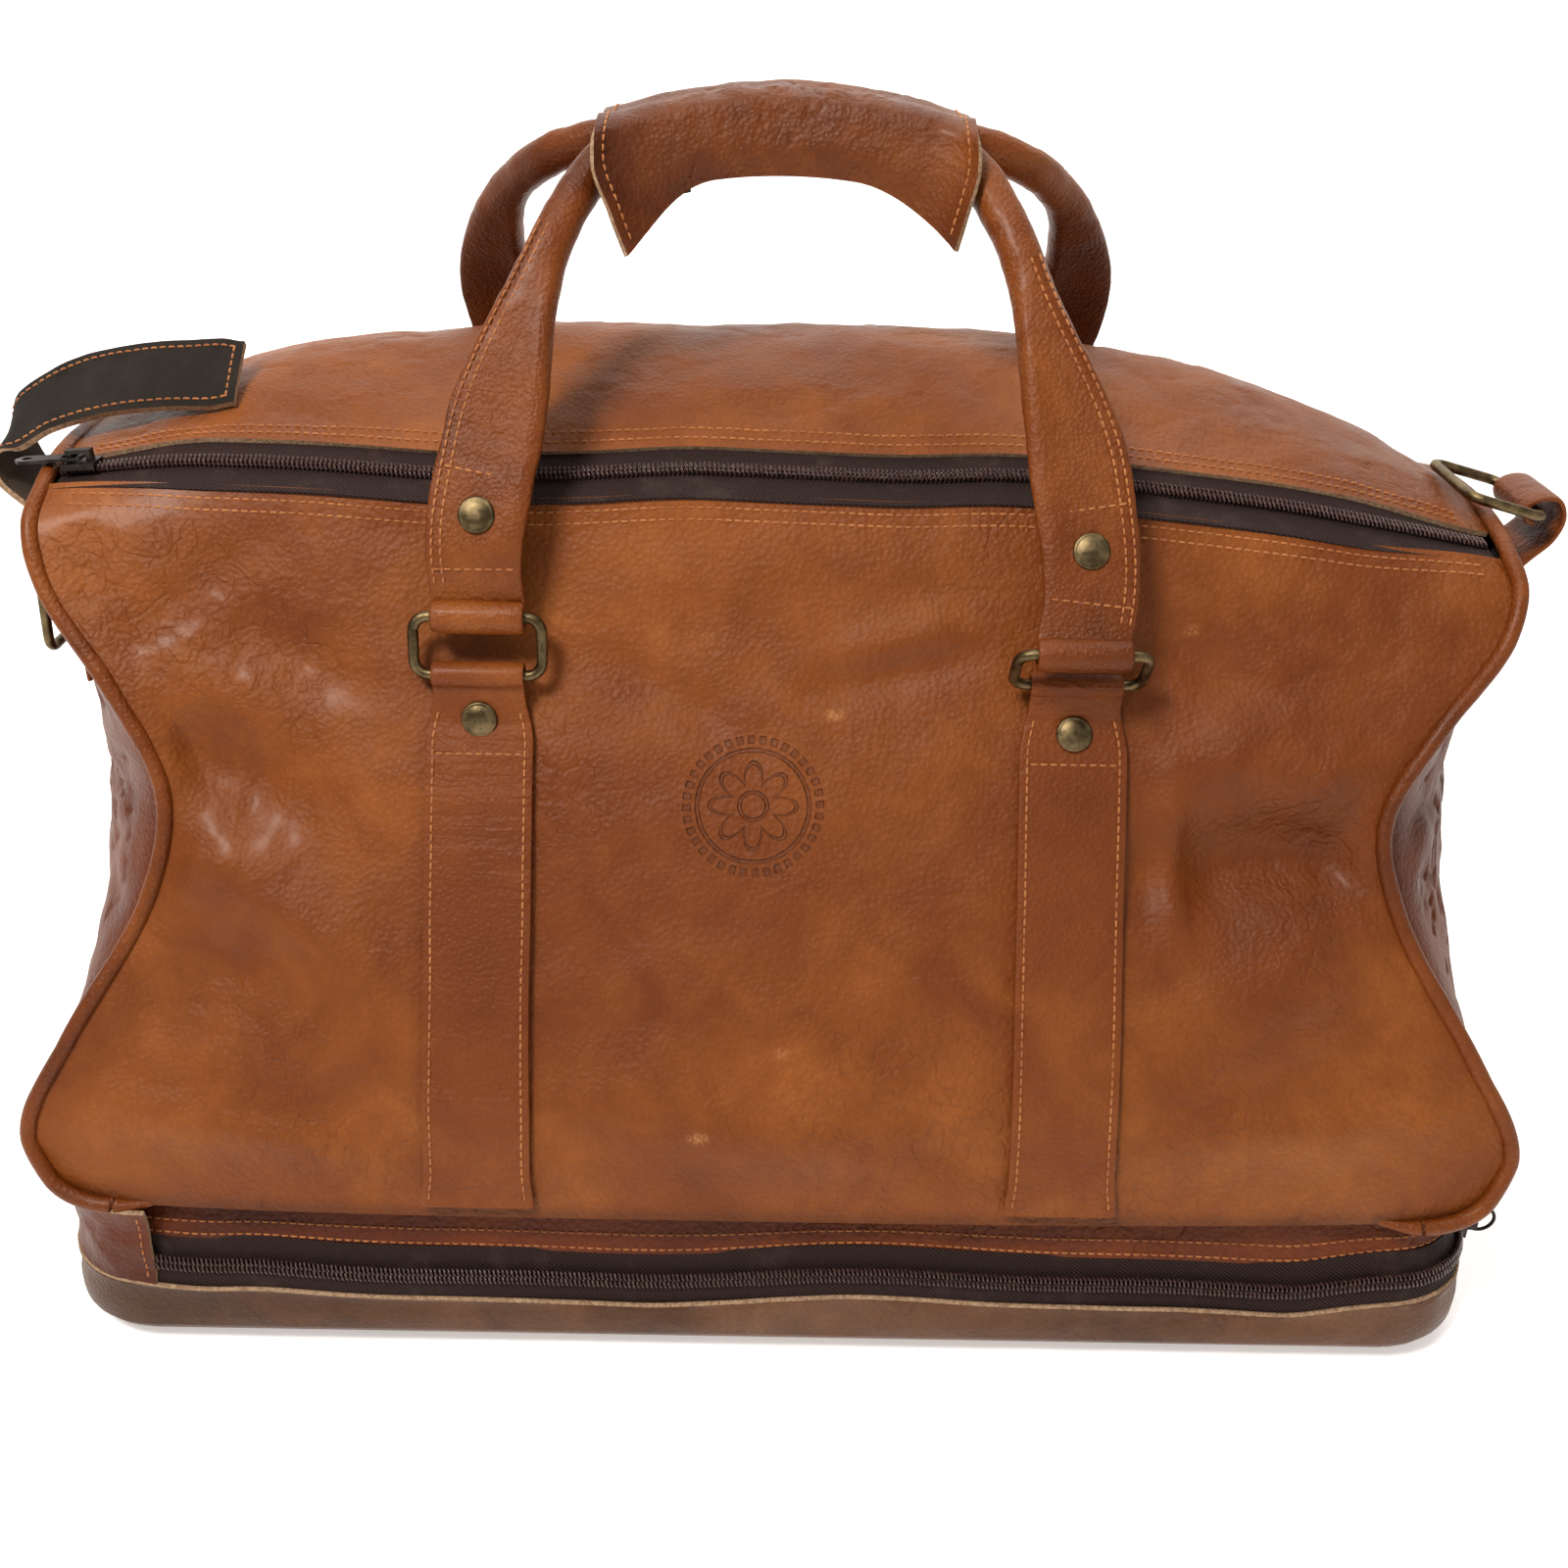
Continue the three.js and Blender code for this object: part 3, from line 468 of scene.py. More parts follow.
def emblem_stamp(look):
    """A plain rosette in a ring of beads, 1 where it is pressed in. Its sizes are in mm."""
    rel = look.vector("SUBTRACT", look.where, emblem_middle)
    across = look.times(look.vector("DOT_PRODUCT", rel, (1.0, 0.0, 0.0)), 1000.0)
    upward = look.times(look.vector("DOT_PRODUCT", rel, panel_up), 1000.0)
    squares = look.plus(look.times(across, across), look.times(upward, upward))
    r = look.calc("SQRT", squares)
    angle = look.calc("ARCTAN2", upward, across)

    def ring(at, half):
        return look.span(look.calc("ABSOLUTE", look.calc("SUBTRACT", r, at)), half, half + 0.5, 1.0, 0.0)

    beads = look.span(look.calc("SINE", look.times(angle, 36.0)), -0.35, 0.15)
    outer = look.times(ring(24.2, 1.1), beads)
    inner = look.calc("MAXIMUM", ring(20.3, 0.45), ring(5.0, 0.4))
    lobes = look.calc("ABSOLUTE", look.calc("COSINE", look.times(angle, 4.0)))
    petal_reach = look.calc("MULTIPLY_ADD", lobes, 7.5, 8.2)
    petal = look.span(look.calc("ABSOLUTE", look.calc("SUBTRACT", r, petal_reach)), 0.45, 1.0, 1.0, 0.0)
    rings = look.calc("MAXIMUM", outer, inner)
    stamp = look.calc("MAXIMUM", rings, look.times(petal, look.span(r, 6.2, 7.0)))
    return look.times(stamp, look.span(r, 27.0, 28.0, 1.0, 0.0))


def leather_look(name, dark=(0.135, 0.033, 0.0045), mid=(0.195, 0.055, 0.0075), light=(0.29, 0.096, 0.0165),
                 pebble=520.0, crease=1.0, emblem=False, gloss=0.0, cross=None):
    look = Look(name, coat=0.08, coat_roughness=0.24, specular=0.34)
    broad = look.noise(7.0, 4.0, 0.55, 0.4)
    cloudy = look.noise(31.0, 5.0, 0.6, 0.6)
    fine = look.noise(420.0, 3.0, 0.6)
    tone = look.plus(look.times(broad, 0.62), look.times(cloudy, 0.38))
    color = look.mix(look.span(tone, 0.34, 0.54), dark, mid)
    color = look.mix(look.span(tone, 0.48, 0.70), color, light)
    wander = look.vector("ADD", look.where, look.vector("MULTIPLY", color_noise(look, 26.0), (0.016, 0.016, 0.016)))

    def valley(size):
        crossing = look.calc("SUBTRACT", look.noise(size, 2.0, 0.5, 0.0, wander), 0.5)
        return look.span(look.calc("ABSOLUTE", crossing), 0.0, 0.035, 1.0, 0.0)

    patch = look.span(look.noise(9.0, 2.0, 0.5), 0.50, 0.66)
    valleys = look.plus(look.times(valley(48.0), 0.6), look.times(valley(105.0), 0.5))
    furrow = look.times(valleys, look.times(patch, crease))
    # The furrows are painted darker than the leather round them: painted shade in their valleys.
    color = look.mix(look.times(furrow, 0.22), color, dark)
    # The point attribute read here: positive values mark real rubbed wear and scuffs; negative values are painted
    # shade in creases, folds, along the front's bottom edge and under the top panel's lap, and a darker band along the
    # handles' outer edges.
    wear_and_shade = look.attribute("wear_and_shade")
    rubbed = look.span(wear_and_shade, 0.05, 0.9)
    scuff = look.times(rubbed, look.span(look.noise(900.0, 4.0, 0.7), 0.38, 0.62), clamp=True)
    color = look.mix(scuff, color, (0.40, 0.185, 0.07))
    # Painted shade: where the attribute is negative, the colour is darkened towards a near-black brown.
    shade = look.span(wear_and_shade, -0.05, -0.9, 0.0, 0.8)
    color = look.mix(shade, color, (0.045, 0.012, 0.005))
    grain = look.cells(pebble, 0.45)
    pores = look.noise(2600.0, 2.0, 0.6)
    relief = look.plus(look.times(grain, 0.8), look.times(pores, 0.35))
    color = look.mix(look.span(grain, 0.25, 0.75, 0.0, 0.16), color, dark)
    normal = look.bump(look.noise(24.0, 4.0, 0.5, 0.5), 0.0025, 0.55)
    normal = look.bump(look.times(furrow, -1.0), 0.0007, 0.6, normal)
    if cross:
        line = look.noise(1.0, 3.0, 0.55, 0.6, look.stretched(*cross))
        band = look.span(look.noise(9.0, 1.0, 0.5, 0.0), 0.42, 0.62)
        normal = look.bump(look.times(line, band), 0.0022, 0.7, normal)
    if emblem:
        stamp = emblem_stamp(look)
        normal = look.bump(look.times(stamp, -1.0), 0.0009, 1.0, normal)
        color = look.mix(look.times(stamp, 0.38), color, (0.075, 0.018, 0.006))
    normal = look.bump(relief, 0.00058, 0.8, normal)
    rough = look.plus(look.span(cloudy, 0.3, 0.7, 0.36 - gloss, 0.50 - gloss), look.times(fine, 0.08))
    rough = look.plus(rough, look.times(scuff, 0.2), clamp=True)
    return look.finish(color, rough, normal)


def flesh_look(name, dark, light):
    look = Look(name, sheen=0.04, specular=0.3)
    nap = look.noise(850.0, 5.0, 0.75)
    cloud = look.noise(26.0, 4.0, 0.6)
    tone = look.plus(look.times(nap, 0.5), look.times(cloud, 0.5))
    color = look.mix(look.span(tone, 0.35, 0.65), dark, light)
    return look.finish(color, look.span(nap, 0.3, 0.7, 0.7, 0.95), look.bump(nap, 0.0006, 0.8))


def rim_look(name):
    look = Look(name)
    fibre = look.noise(1.0, 4.0, 0.7, 0.0, look.stretched(700, 700, 700))
    color = look.mix(look.span(fibre, 0.3, 0.7), (0.20, 0.115, 0.065), (0.43, 0.30, 0.19))
    return look.finish(color, 0.86, look.bump(fibre, 0.0004, 0.9))


def tape_look(name):
    look = Look(name, sheen=0.03, specular=0.3)
    weave = look.tree.nodes.new("ShaderNodeTexWave")
    weave.bands_direction = "DIAGONAL"
    weave.inputs["Scale"].default_value = 330.0
    weave.inputs["Distortion"].default_value = 0.6
    look.put(weave.inputs["Vector"], look.where)
    rib = look.noise(1.0, 2.0, 0.5, 0.0, look.stretched(1500, 1500, 500))
    height = look.plus(look.times(weave.outputs["Fac"], 0.6), look.times(rib, 0.4))
    color = look.mix(look.span(height, 0.25, 0.8), (0.013, 0.006, 0.005), (0.046, 0.023, 0.020))
    dust = look.span(look.noise(45.0, 5.0, 0.7), 0.52, 0.75, 0.0, 0.3)
    color = look.mix(dust, color, (0.11, 0.075, 0.065))
    return look.finish(color, look.span(rib, 0.3, 0.7, 0.62, 0.85), look.bump(height, 0.0004, 0.9))


def coil_look(name):
    look = Look(name, coat=0.2)
    n = look.noise(700.0, 3.0, 0.6)
    color = look.mix(look.span(n, 0.3, 0.7), (0.036, 0.018, 0.016), (0.115, 0.064, 0.054))
    return look.finish(color, look.span(n, 0.3, 0.7, 0.20, 0.36), look.bump(n, 0.00015, 0.5))


def thread_look(name):
    look = Look(name, sheen=0.2)
    twist = look.noise(1.0, 2.0, 0.5, 0.0, look.stretched(3200, 2400, 2600))
    hue = look.noise(60.0, 3.0, 0.6)
    color = look.mix(look.span(hue, 0.35, 0.65), (0.34, 0.115, 0.028), (0.48, 0.190, 0.055))
    color = look.mix(look.span(twist, 0.4, 0.7, 0.0, 0.5), color, (0.24, 0.09, 0.03))
    return look.finish(color, 0.62, look.bump(twist, 0.0003, 0.9))


def metal_look(name, dark, light, rough_low, rough_high, metallic=1.0, tarnish=(0.05, 0.035, 0.02)):
    look = Look(name, metallic=metallic)
    cloud = look.noise(160.0, 5.0, 0.65)
    brush = look.noise(1.0, 4.0, 0.7, 0.0, look.stretched(5200, 900, 900))
    color = look.mix(look.span(cloud, 0.35, 0.65), dark, light)
    spots = look.span(look.noise(520.0, 4.0, 0.7), 0.55, 0.70, 0.0, 0.6)
    color = look.mix(spots, color, tarnish)
    clouded = look.span(cloud, 0.3, 0.7, rough_low, rough_high)
    rough = look.plus(clouded, look.times(brush, 0.12))
    relief = look.plus(look.times(brush, 0.5), look.times(cloud, 0.5))
    normal = look.bump(relief, 0.00022, 0.6)
    return look.finish(color, rough, normal)


def board_look(name):
    look = Look(name)
    n = look.noise(240.0, 5.0, 0.7)
    color = look.mix(look.span(n, 0.3, 0.7), (0.020, 0.015, 0.012), (0.050, 0.038, 0.030))
    return look.finish(color, 0.85, look.bump(n, 0.0005, 0.6))


tan = leather_look("leather_tan")
tan_front = leather_look("leather_front", emblem=True)
tan_strap = leather_look("leather_strap", mid=(0.175, 0.046, 0.0065), light=(0.245, 0.077, 0.014),
                         pebble=640.0, crease=0.6, cross=(22.0, 190.0, 260.0))
tan_handle = leather_look("leather_handle", dark=(0.090, 0.021, 0.003), mid=(0.165, 0.043, 0.0055),
                          light=(0.26, 0.082, 0.013), pebble=700.0, crease=0.5, gloss=0.05)
# A darker copy of the leather for the end panels, the band over the base zip and the left gusset: painted shade, as
# they face sideways or lie under the body's overhang.
tan_dark = leather_look("leather_shaded", dark=(0.070, 0.014, 0.003), mid=(0.125, 0.027, 0.005),
                        light=(0.19, 0.048, 0.009), crease=1.2)
# The tray's leather is darker and greyer than the body's: partly its own dirtier tone, partly painted shade, as its
# lower side faces down.
tan_tray = leather_look("leather_tray", dark=(0.060, 0.026, 0.012), mid=(0.125, 0.056, 0.027),
                        light=(0.20, 0.098, 0.050), crease=1.2)
# The grip wrap's leather is a darker copy: painted shade, as its underside lies in shadow.
tan_wrap = leather_look("leather_wrap", dark=(0.070, 0.016, 0.003), mid=(0.135, 0.035, 0.005),
                        light=(0.225, 0.070, 0.011), pebble=640.0, crease=1.3, gloss=0.06)
lining = flesh_look("flesh_dark", (0.012, 0.008, 0.006), (0.036, 0.026, 0.019))
flesh = flesh_look("flesh_brown", (0.050, 0.034, 0.022), (0.150, 0.110, 0.075))
rim = rim_look("leather_cut_edge")
tape = tape_look("zip_tape")
coil = coil_look("zip_coil")
thread = thread_look("stitch_thread")
brass = metal_look("antique_brass", (0.10, 0.075, 0.040), (0.22, 0.165, 0.090), 0.28, 0.44)
black = metal_look("black_metal", (0.020, 0.017, 0.016), (0.060, 0.052, 0.047), 0.24, 0.40, 0.85,
                   (0.10, 0.08, 0.06))
board = board_look("fibre_board")
# The materials of a sewn piece, in the order of its mesh slots: face, back, cut edge and stitches.
leathers = [tan, lining, rim, thread]
shaded_leathers = [tan_dark, lining, rim, thread]


# ------------------------------------------------------------------ panels of the main compartment
def span_grid(run, columns, rows):
    """A panel's grid of points, from seam to seam."""
    u = np.linspace(-seam_share, seam_share, columns)
    s = np.linspace(0.0, 1.0, rows)
    return shell(run, u[None, :].repeat(rows, 0), s[:, None].repeat(columns, 1))


def zip_sway(x):
    """The soft wander of the top zip, towards the back where positive, in mm."""
    x = np.asarray(x, float)
    return 1.5 * np.sin(x / 52 + 0.9) * smooth(250 - np.abs(x), 0, 70) - 1.2 * np.exp(-((x + 10) / 60) ** 2)


def under_strap(grid):
    """1 beneath a sewn strap, where the panel lies flat, and 0 away from it."""
    return np.exp(-((np.abs(grid[..., 0]) - strap_x) / 21) ** 4)


def inside_edges(share, margin, columns):
    """0 at a panel's sewn edges and 1 inside."""
    across = np.abs(np.linspace(-1, 1, columns))
    return smooth(share, 0.0, margin) * (1 - smooth(share, 1 - margin, 1.0)) * (1 - smooth(across, 0.9, 1.0))


seam_share = 0.991
strap_x = 107.0
# Folds of the front: the two ends of each, its width and its height, in mm.
folds = [
    ((-222, 222), (-176, 204), 15, -5.0),
    ((-214, 190), (-150, 150), 14, 3.0),
    ((-190, 150), (-232, 120), 16, -2.4),
    ((219, 188), (140, 186), 15, -6.5),
    ((214, 214), (150, 226), 17, 4.0),
    ((143, 214), (146, 160), 7, 2.6),
    ((208, 160), (150, 130), 22, 3.0),
    ((12, 240), (74, 252), 6, -1.8),
    ((20, 250), (70, 262), 9, 1.6),
    ((-66, 250), (-10, 224), 7, -1.4),
    ((-200, 262), (-150, 240), 10, -2.0),
    ((-238, 250), (-190, 285), 9, -1.6),
    ((130, 262), (176, 240), 7, -1.8),
    ((-240, 96), (-150, 84), 10, 2.0),
    ((150, 92), (235, 100), 12, 1.8),
    ((-60, 100), (40, 88), 16, 2.2),
]
# Scuffed spots of the front, with their sizes.
scuffs = [((-26, 93), 4.5), ((21, 232), 4), ((4, 122), 3), ((150, 262), 3)]


def front_shape():
    grid = span_grid("front", 240, 120)
    n = grid_normals(grid)
    flat = grid[..., [0, 2]]
    lift = np.zeros(grid.shape[:2])
    for a, b, width, height in folds:
        lift += 1.7 * height * near_segment(flat, a, b, width)
    edge_x = np.abs(np.linspace(-seam_share, seam_share, 240))[None, :]
    s = np.linspace(0, 1, 120)[:, None]
    free = (1 - smooth(edge_x, 0.93, seam_share)) * smooth(s, 0.0, 0.10) * (1 - smooth(s, 0.90, 1.0))
    lift += 1.5 * ripple(grid, 62, 1, 3)
    side = smooth(np.abs(grid[..., 0]), 120, 215)
    lift += (0.42 * side + 0.10) * creases(grid * [1, 0.8, 1], 33, 2)
    lift += 0.5 * side * ripple(grid, 9, 3, 2)
    strap = under_strap(grid)
    lift = lift * free * (1 - 0.9 * strap)
    lift = np.where(strap > 0.25, np.minimum(lift, 0.4), lift)
    # Painted shade in the creases towards the sides; the scuffs below are real wear.
    wear_and_shade = 0.22 * creases(grid * [1, 0.8, 1], 33, 2) * side
    for (x, z), size in scuffs:
        wear_and_shade = wear_and_shade + np.exp(-(((flat[..., 0] - x) / size) ** 2 + ((flat[..., 1] - z) / (size * 0.5)) ** 2))
    # Painted shade along the bottom edge, under the body's overhang; the edge at the mouth is a little rubbed and
    # lighter.
    wear_and_shade = wear_and_shade - 0.55 * np.exp(-(s / 0.02) ** 2) + 0.12 * smooth(s, 0.975, 1.0)
    grid = grid + n * lift[..., None]
    grid[..., 1] += zip_sway(grid[..., 0]) * smooth(s, 0.93, 1.0)
    corner = smooth(edge_x, 0.86, seam_share) * (1 - smooth(s, 0.0, 0.085))
    grid[..., 0] -= np.sign(grid[..., 0]) * 7.5 * corner ** 1.5
    grid[..., 2] -= 2.5 * (1 - smooth(s, 0.0, 0.06)) * (1 - corner)
    return grid, wear_and_shade


def rows_of_stitches(shape, grid, normals, along, offsets, slot=3, first=0, last=None):
    """Stitch rows parallel to a grid's edge: along says which edge, offsets how far in, in mm."""
    if along in ("low", "high"):
        source = grid if along == "low" else grid[::-1]
        norm = normals if along == "low" else normals[::-1]
    else:
        source = np.swapaxes(grid, 0, 1) if along == "left" else np.swapaxes(grid, 0, 1)[::-1]
        norm = np.swapaxes(normals, 0, 1) if along == "left" else np.swapaxes(normals, 0, 1)[::-1]
    steps = np.linalg.norm(np.diff(source, axis=0), axis=2)
    deep = np.concatenate([np.zeros((1, source.shape[1])), np.cumsum(steps, axis=0)])
    for offset in offsets:
        path, face = [], []
        for j in range(source.shape[1]):
            path.append([np.interp(offset, deep[:, j], source[:, j, k]) for k in range(3)])
            face.append([np.interp(offset, deep[:, j], norm[:, j, k]) for k in range(3)])
        shape.stitches(np.array(path)[first:last], np.array(face)[first:last], slot)


shape = Shape()
front_grid, front_wear_and_shade = front_shape()
front_normals = shape.sheet(front_grid, wear_and_shade=front_wear_and_shade)
rows_of_stitches(shape, front_grid, front_normals, "high", (5.0, 9.3), first=4, last=-4)
place(shape.build("front_leather_panel", [tan_front, lining, rim, thread]), "main", "leather", "front_panel")

# The top panel is one piece.
shape = Shape()
top_grid = span_grid("top", 200, 80)
top_n = grid_normals(top_grid)
share = np.linspace(0, 1, 80)[:, None]
inside = inside_edges(share, 0.12, 200)
top_lift = 2.0 * ripple(top_grid, 75, 11, 3) + 0.5 * creases(top_grid, 34, 12)
top_lift = top_lift + 0.3 * ripple(top_grid, 12, 13, 2)
top_grid = top_grid + top_n * (top_lift * inside)[..., None]
top_grid[..., 1] += zip_sway(top_grid[..., 0]) * (1 - smooth(share, 0.0, 0.15))
lip = top_grid[-1] + unit(top_grid[-1] - top_grid[-3]) * 4.0 + np.array([0, 0, 0.6])
top_grid = np.concatenate([top_grid, (top_grid[-1:] + lip[None]) / 2, lip[None]], 0)
top_worn = np.zeros(top_grid.shape[:2]) + 0.10 * np.exp(-(np.arange(82) / 2.0) ** 2)[:, None]
top_normals = shape.sheet(top_grid, wear_and_shade=top_worn)
rows_of_stitches(shape, top_grid, top_normals, "low", (4.5, 9.0), first=4, last=-4)
rows_of_stitches(shape, top_grid, top_normals, "high", (3.2, 6.4), first=4, last=-4)
top_panel = shape.build("top_leather_panel", leathers)


def bend_with_flap(obj):
    """Bakes the piece's placement into its mesh and works out a weight for its points, 1 in the middle of the mouth's
    edge and 0 at its ends.
    """
    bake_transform(obj)
    x = np.array([v.co.x for v in obj.data.vertices])
    weight = 1 - smooth(np.abs(x), 0.050, 0.200)


bend_with_flap(top_panel)
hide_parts("top_panel", "top_end_left", "top_end_right")

shape = Shape()
back_grid = span_grid("back", 150, 90)
back_n = grid_normals(back_grid)
share = np.linspace(0, 1, 90)[:, None]
inside = inside_edges(share, 0.1, 150)
back_strap = under_strap(back_grid)
back_lift = 1.4 * ripple(back_grid, 60, 21, 3) + 0.8 * creases(back_grid, 30, 22)
back_lift = (back_lift + 0.25 * ripple(back_grid, 9, 23, 2)) * (1 - 0.9 * back_strap)
back_lift = np.where(back_strap > 0.25, np.minimum(back_lift, 0.3), back_lift)
back_grid = back_grid + back_n * (np.minimum(back_lift, 1.6) * inside)[..., None]
# Painted shade along the top edge, under the top panel's lapped edge.
back_normals = shape.sheet(back_grid, wear_and_shade=np.zeros(back_grid.shape[:2]) - 0.4 * smooth(share, 0.97, 1.0))
rows_of_stitches(shape, back_grid, back_normals, "high", (4.0,), first=6, last=-6)
place(shape.build("back_leather_panel", leathers), "main", "leather", "back_panel")


# ------------------------------------------------------------------ end panels and piping
def seam_route(hand):
    points = []
    for run in ("front", "top", "back"):
        points += [[hand * x, y, lifted(z) if hand < 0 else z] for x, y, z in end_runs[run]]
    return Route(points)


def at_height(part, z):
    """Where a rising line passes that height."""
    rising = np.maximum.accumulate(part[:, 2])
    return np.array([np.interp(z, rising, part[:, k]) for k in range(3)])


end_x = 273.0
# The piping's foot, tucked under the front corner.
piping_foot = [(222, -136.5, 60.5), (240, -139.6, 58.8), (255, -139.0, 60.8), (265, -137.2, 66.5),
               (271.0, -134.4, 77)]
hands = ((-1, "left"), (1, "right"))
for hand, side in hands:
    line = seam_route(hand).at(np.linspace(0, 1, 600))
    crest = int(np.argmax(line[:, 2]))
    heights = np.linspace(61.5, line[crest, 2] - 1.2, 90)
    front_line, back_line = line[:crest + 1], line[crest:][::-1]
    rows = []
    for z in heights:
        a, b = at_height(front_line, z), at_height(back_line, z)
        inset = min(2.2 / max(np.linalg.norm(b - a), 1), 0.3)
        t = np.linspace(inset, 1 - inset, 90)[:, None]
        p = a + (b - a) * t
        swell = np.sin(np.pi * np.linspace(0, 1, 90)[:, None]).clip(0) ** 0.7
        p[:, :1] += (hand * end_x - p[:, :1]) * swell
        rows.append(p)
    grid = np.array(rows)
    n = grid_normals(grid)
    t = np.linspace(0, 1, 90)[None, :]
    v = np.linspace(0, 1, 90)[:, None]
    free = smooth(t, 0, 0.12) * (1 - smooth(t, 0.88, 1)) * smooth(v, 0, 0.08) * (1 - smooth(v, 0.85, 1))
    lift = 2.0 * ripple(grid, 45, 31 + hand, 3) + 1.6 * creases(grid * [1, 1, 0.6], 34, 33 + hand) - 1.0
    sides = np.exp(-(t / 0.22) ** 2) + np.exp(-((1 - t) / 0.22) ** 2)
    gather = np.exp(-((grid[..., 2] - 190) / 38) ** 2) * sides
    lift += 1.6 * gather * np.sin(grid[..., 2] / 6.5 + 2.2 * ripple(grid, 30, 37, 2))
    fitting = np.exp(-((grid[..., 1] - 12) / 26) ** 2) * smooth(grid[..., 2], 190, 212)
    grid = grid + n * (np.minimum(lift, 1.2) * free * (1 - fitting))[..., None]
    shape = Shape()
    # Painted shade in the gathered folds; the panel also takes the darker painted-shade copy of the leather.
    shape.sheet(grid, wear_and_shade=-0.3 * gather)
    panel = shape.build(f"end_leather_panel_{side}", [tan_dark, lining, rim])
    place(panel, "main", "leather", f"end_panel_{side}")

    shape = Shape()
    foot = [[hand * x, y, z] for x, y, z in piping_foot]
    start = int(np.argmax(line[:, 2] > 84))
    foot_line = Route(foot + [line[start], line[start + 4]]).at(np.linspace(0, 1, 60))
    path = even(np.vstack([foot_line[:-1], line[start + 4:]]), 440)
    wobble = (3.0 + 0.18 * ripple(path, 14, 41, 2)) * (0.3 + 0.7 * smooth(np.linspace(0, 1, 440), 0, 0.035))
    shape.tube(path, wobble, 14, up=(hand, 0.0, 0.05))
    place(shape.build(f"piping_cord_{side}", [tan_handle]), "main", "leather", f"piping_{side}")


# ------------------------------------------------------------------ base
def footprint(inset, z, first=0, last=4, steps=10):
    points = []
    centres = [(236, -106), (236, 106), (-236, 106), (-236, -106)]
    for corner in range(first, last):
        x, y = centres[corner % 4]
        for k in range(steps + 1):
            a = math.pi / 2 * (corner - 1 + k / steps)
            points.append([x + (40 - inset) * math.cos(a), y + (40 - inset) * math.sin(a), z])
    return np.array(points)


def outward_of(path, closed=False):
    """Level directions that point out of the bag along a path round it."""
    t = tangents(path, closed)
    n = unit(np.cross(t, [0, 0, 1.0]))
    return n if (n * (path * [1, 1, 0])).sum() > 0 else -n


def low_drop(path):
    """How far the front of the shoe compartment's zip has sunk, as a share."""
    return smooth(path[..., 0], -246, -205) * (1 - smooth(path[..., 0], 196, 246)) * (path[..., 1] < -95)


def low_sway(path):
    """How far the front of that zip waves up and down from where it was sewn, in mm."""
    x = path[..., 0]
    along = 2.3 * np.sin(x / 41 + 0.3) + 1.0 * np.sin(x / 20)
    ease = smooth(x, -236, -185) * (1 - smooth(x, 190, 236)) * (path[..., 1] < -100)
    return along * ease - 4.5 * low_drop(path)


def board_piece(name, profile, body, node):
    """A flat board; its profile gives the inset and height of each ring."""
    shape = Shape()
    shape.rings(np.array([even(footprint(inset, z), 200, True) for inset, z in profile]))
    place(shape.build(name, [board]), body, "board", node)


# Inset and height along the tray's section, from the foot over the rim to the inside floor.
tray_profile = [(7.0, 0.0), (3.4, 1.2), (1.0, 4.6), (0.1, 9.5), (0.4, 14), (1.2, 19), (2.0, 23.4),
                (3.0, 24.1), (4.0, 23.6), (5.0, 17), (7.0, 8), (9.5, 3.4), (16, 3.0)]
shape = Shape()
rings = []
for inset, z in tray_profile:
    ring = even(footprint(inset, z), 420, True)
    out = outward_of(ring, True)
    body = smooth(z, 2, 10) * (1 - smooth(z, 19, 24)) if inset < 4 else 0.0
    ring = ring + out * np.minimum(1.3 * ripple(ring, 36, 51, 3) - 0.9, 0)[:, None] * body
    ring[:, 2] += (0.7 * ripple(ring * [1, 1, 0], 52, 52, 2) + low_sway(ring)) * smooth(z, 8, 23) * (inset < 5.5)
    rings.append(ring)
shape.rings(np.array(rings[::-1]), 0)
shape.tube(rings[7] + np.array([0, 0, 0.1]), 0.95, 8, 2, loop=True)
place(shape.build("base_leather_tray", [tan_tray, lining, rim, thread]), "base", "leather", "base_tray")

board_piece("shoe_compartment_board", [(16.5, 3.6), (16, 4.0), (16, 5.7), (16.5, 6.0)], "base", "base_board")


def zip_path(inset, z):
    start = [[-238.0, -146 + inset, z]]
    end = [[276 - inset, 0, z], [276 - inset, 96, z]]
    return even(np.vstack([start, footprint(inset, z, 0, 1), end]), 520)


def coil_teeth(shape, path, out, lean, pitch=1.7, slot=1):
    """The interlocked loops of one side of a zip's coil."""
    d = np.concatenate([[0], np.cumsum(np.linalg.norm(np.diff(path, axis=0), axis=1))])
    turns = int(d[-1] / pitch)
    phase = np.linspace(0, turns * 2 * np.pi, turns * 8)
    at = phase / (2 * np.pi) * pitch
    p = np.stack([np.interp(at, d, path[:, k]) for k in range(3)], -1)
    o = unit(np.stack([np.interp(at, d, out[:, k]) for k in range(3)], -1))
    w = unit(np.stack([np.interp(at, d, lean[:, k]) for k in range(3)], -1))
    shape.tube(p + w * (1.45 * np.cos(phase))[:, None] + o * (0.9 * np.sin(phase))[:, None], 0.5, 5, slot)


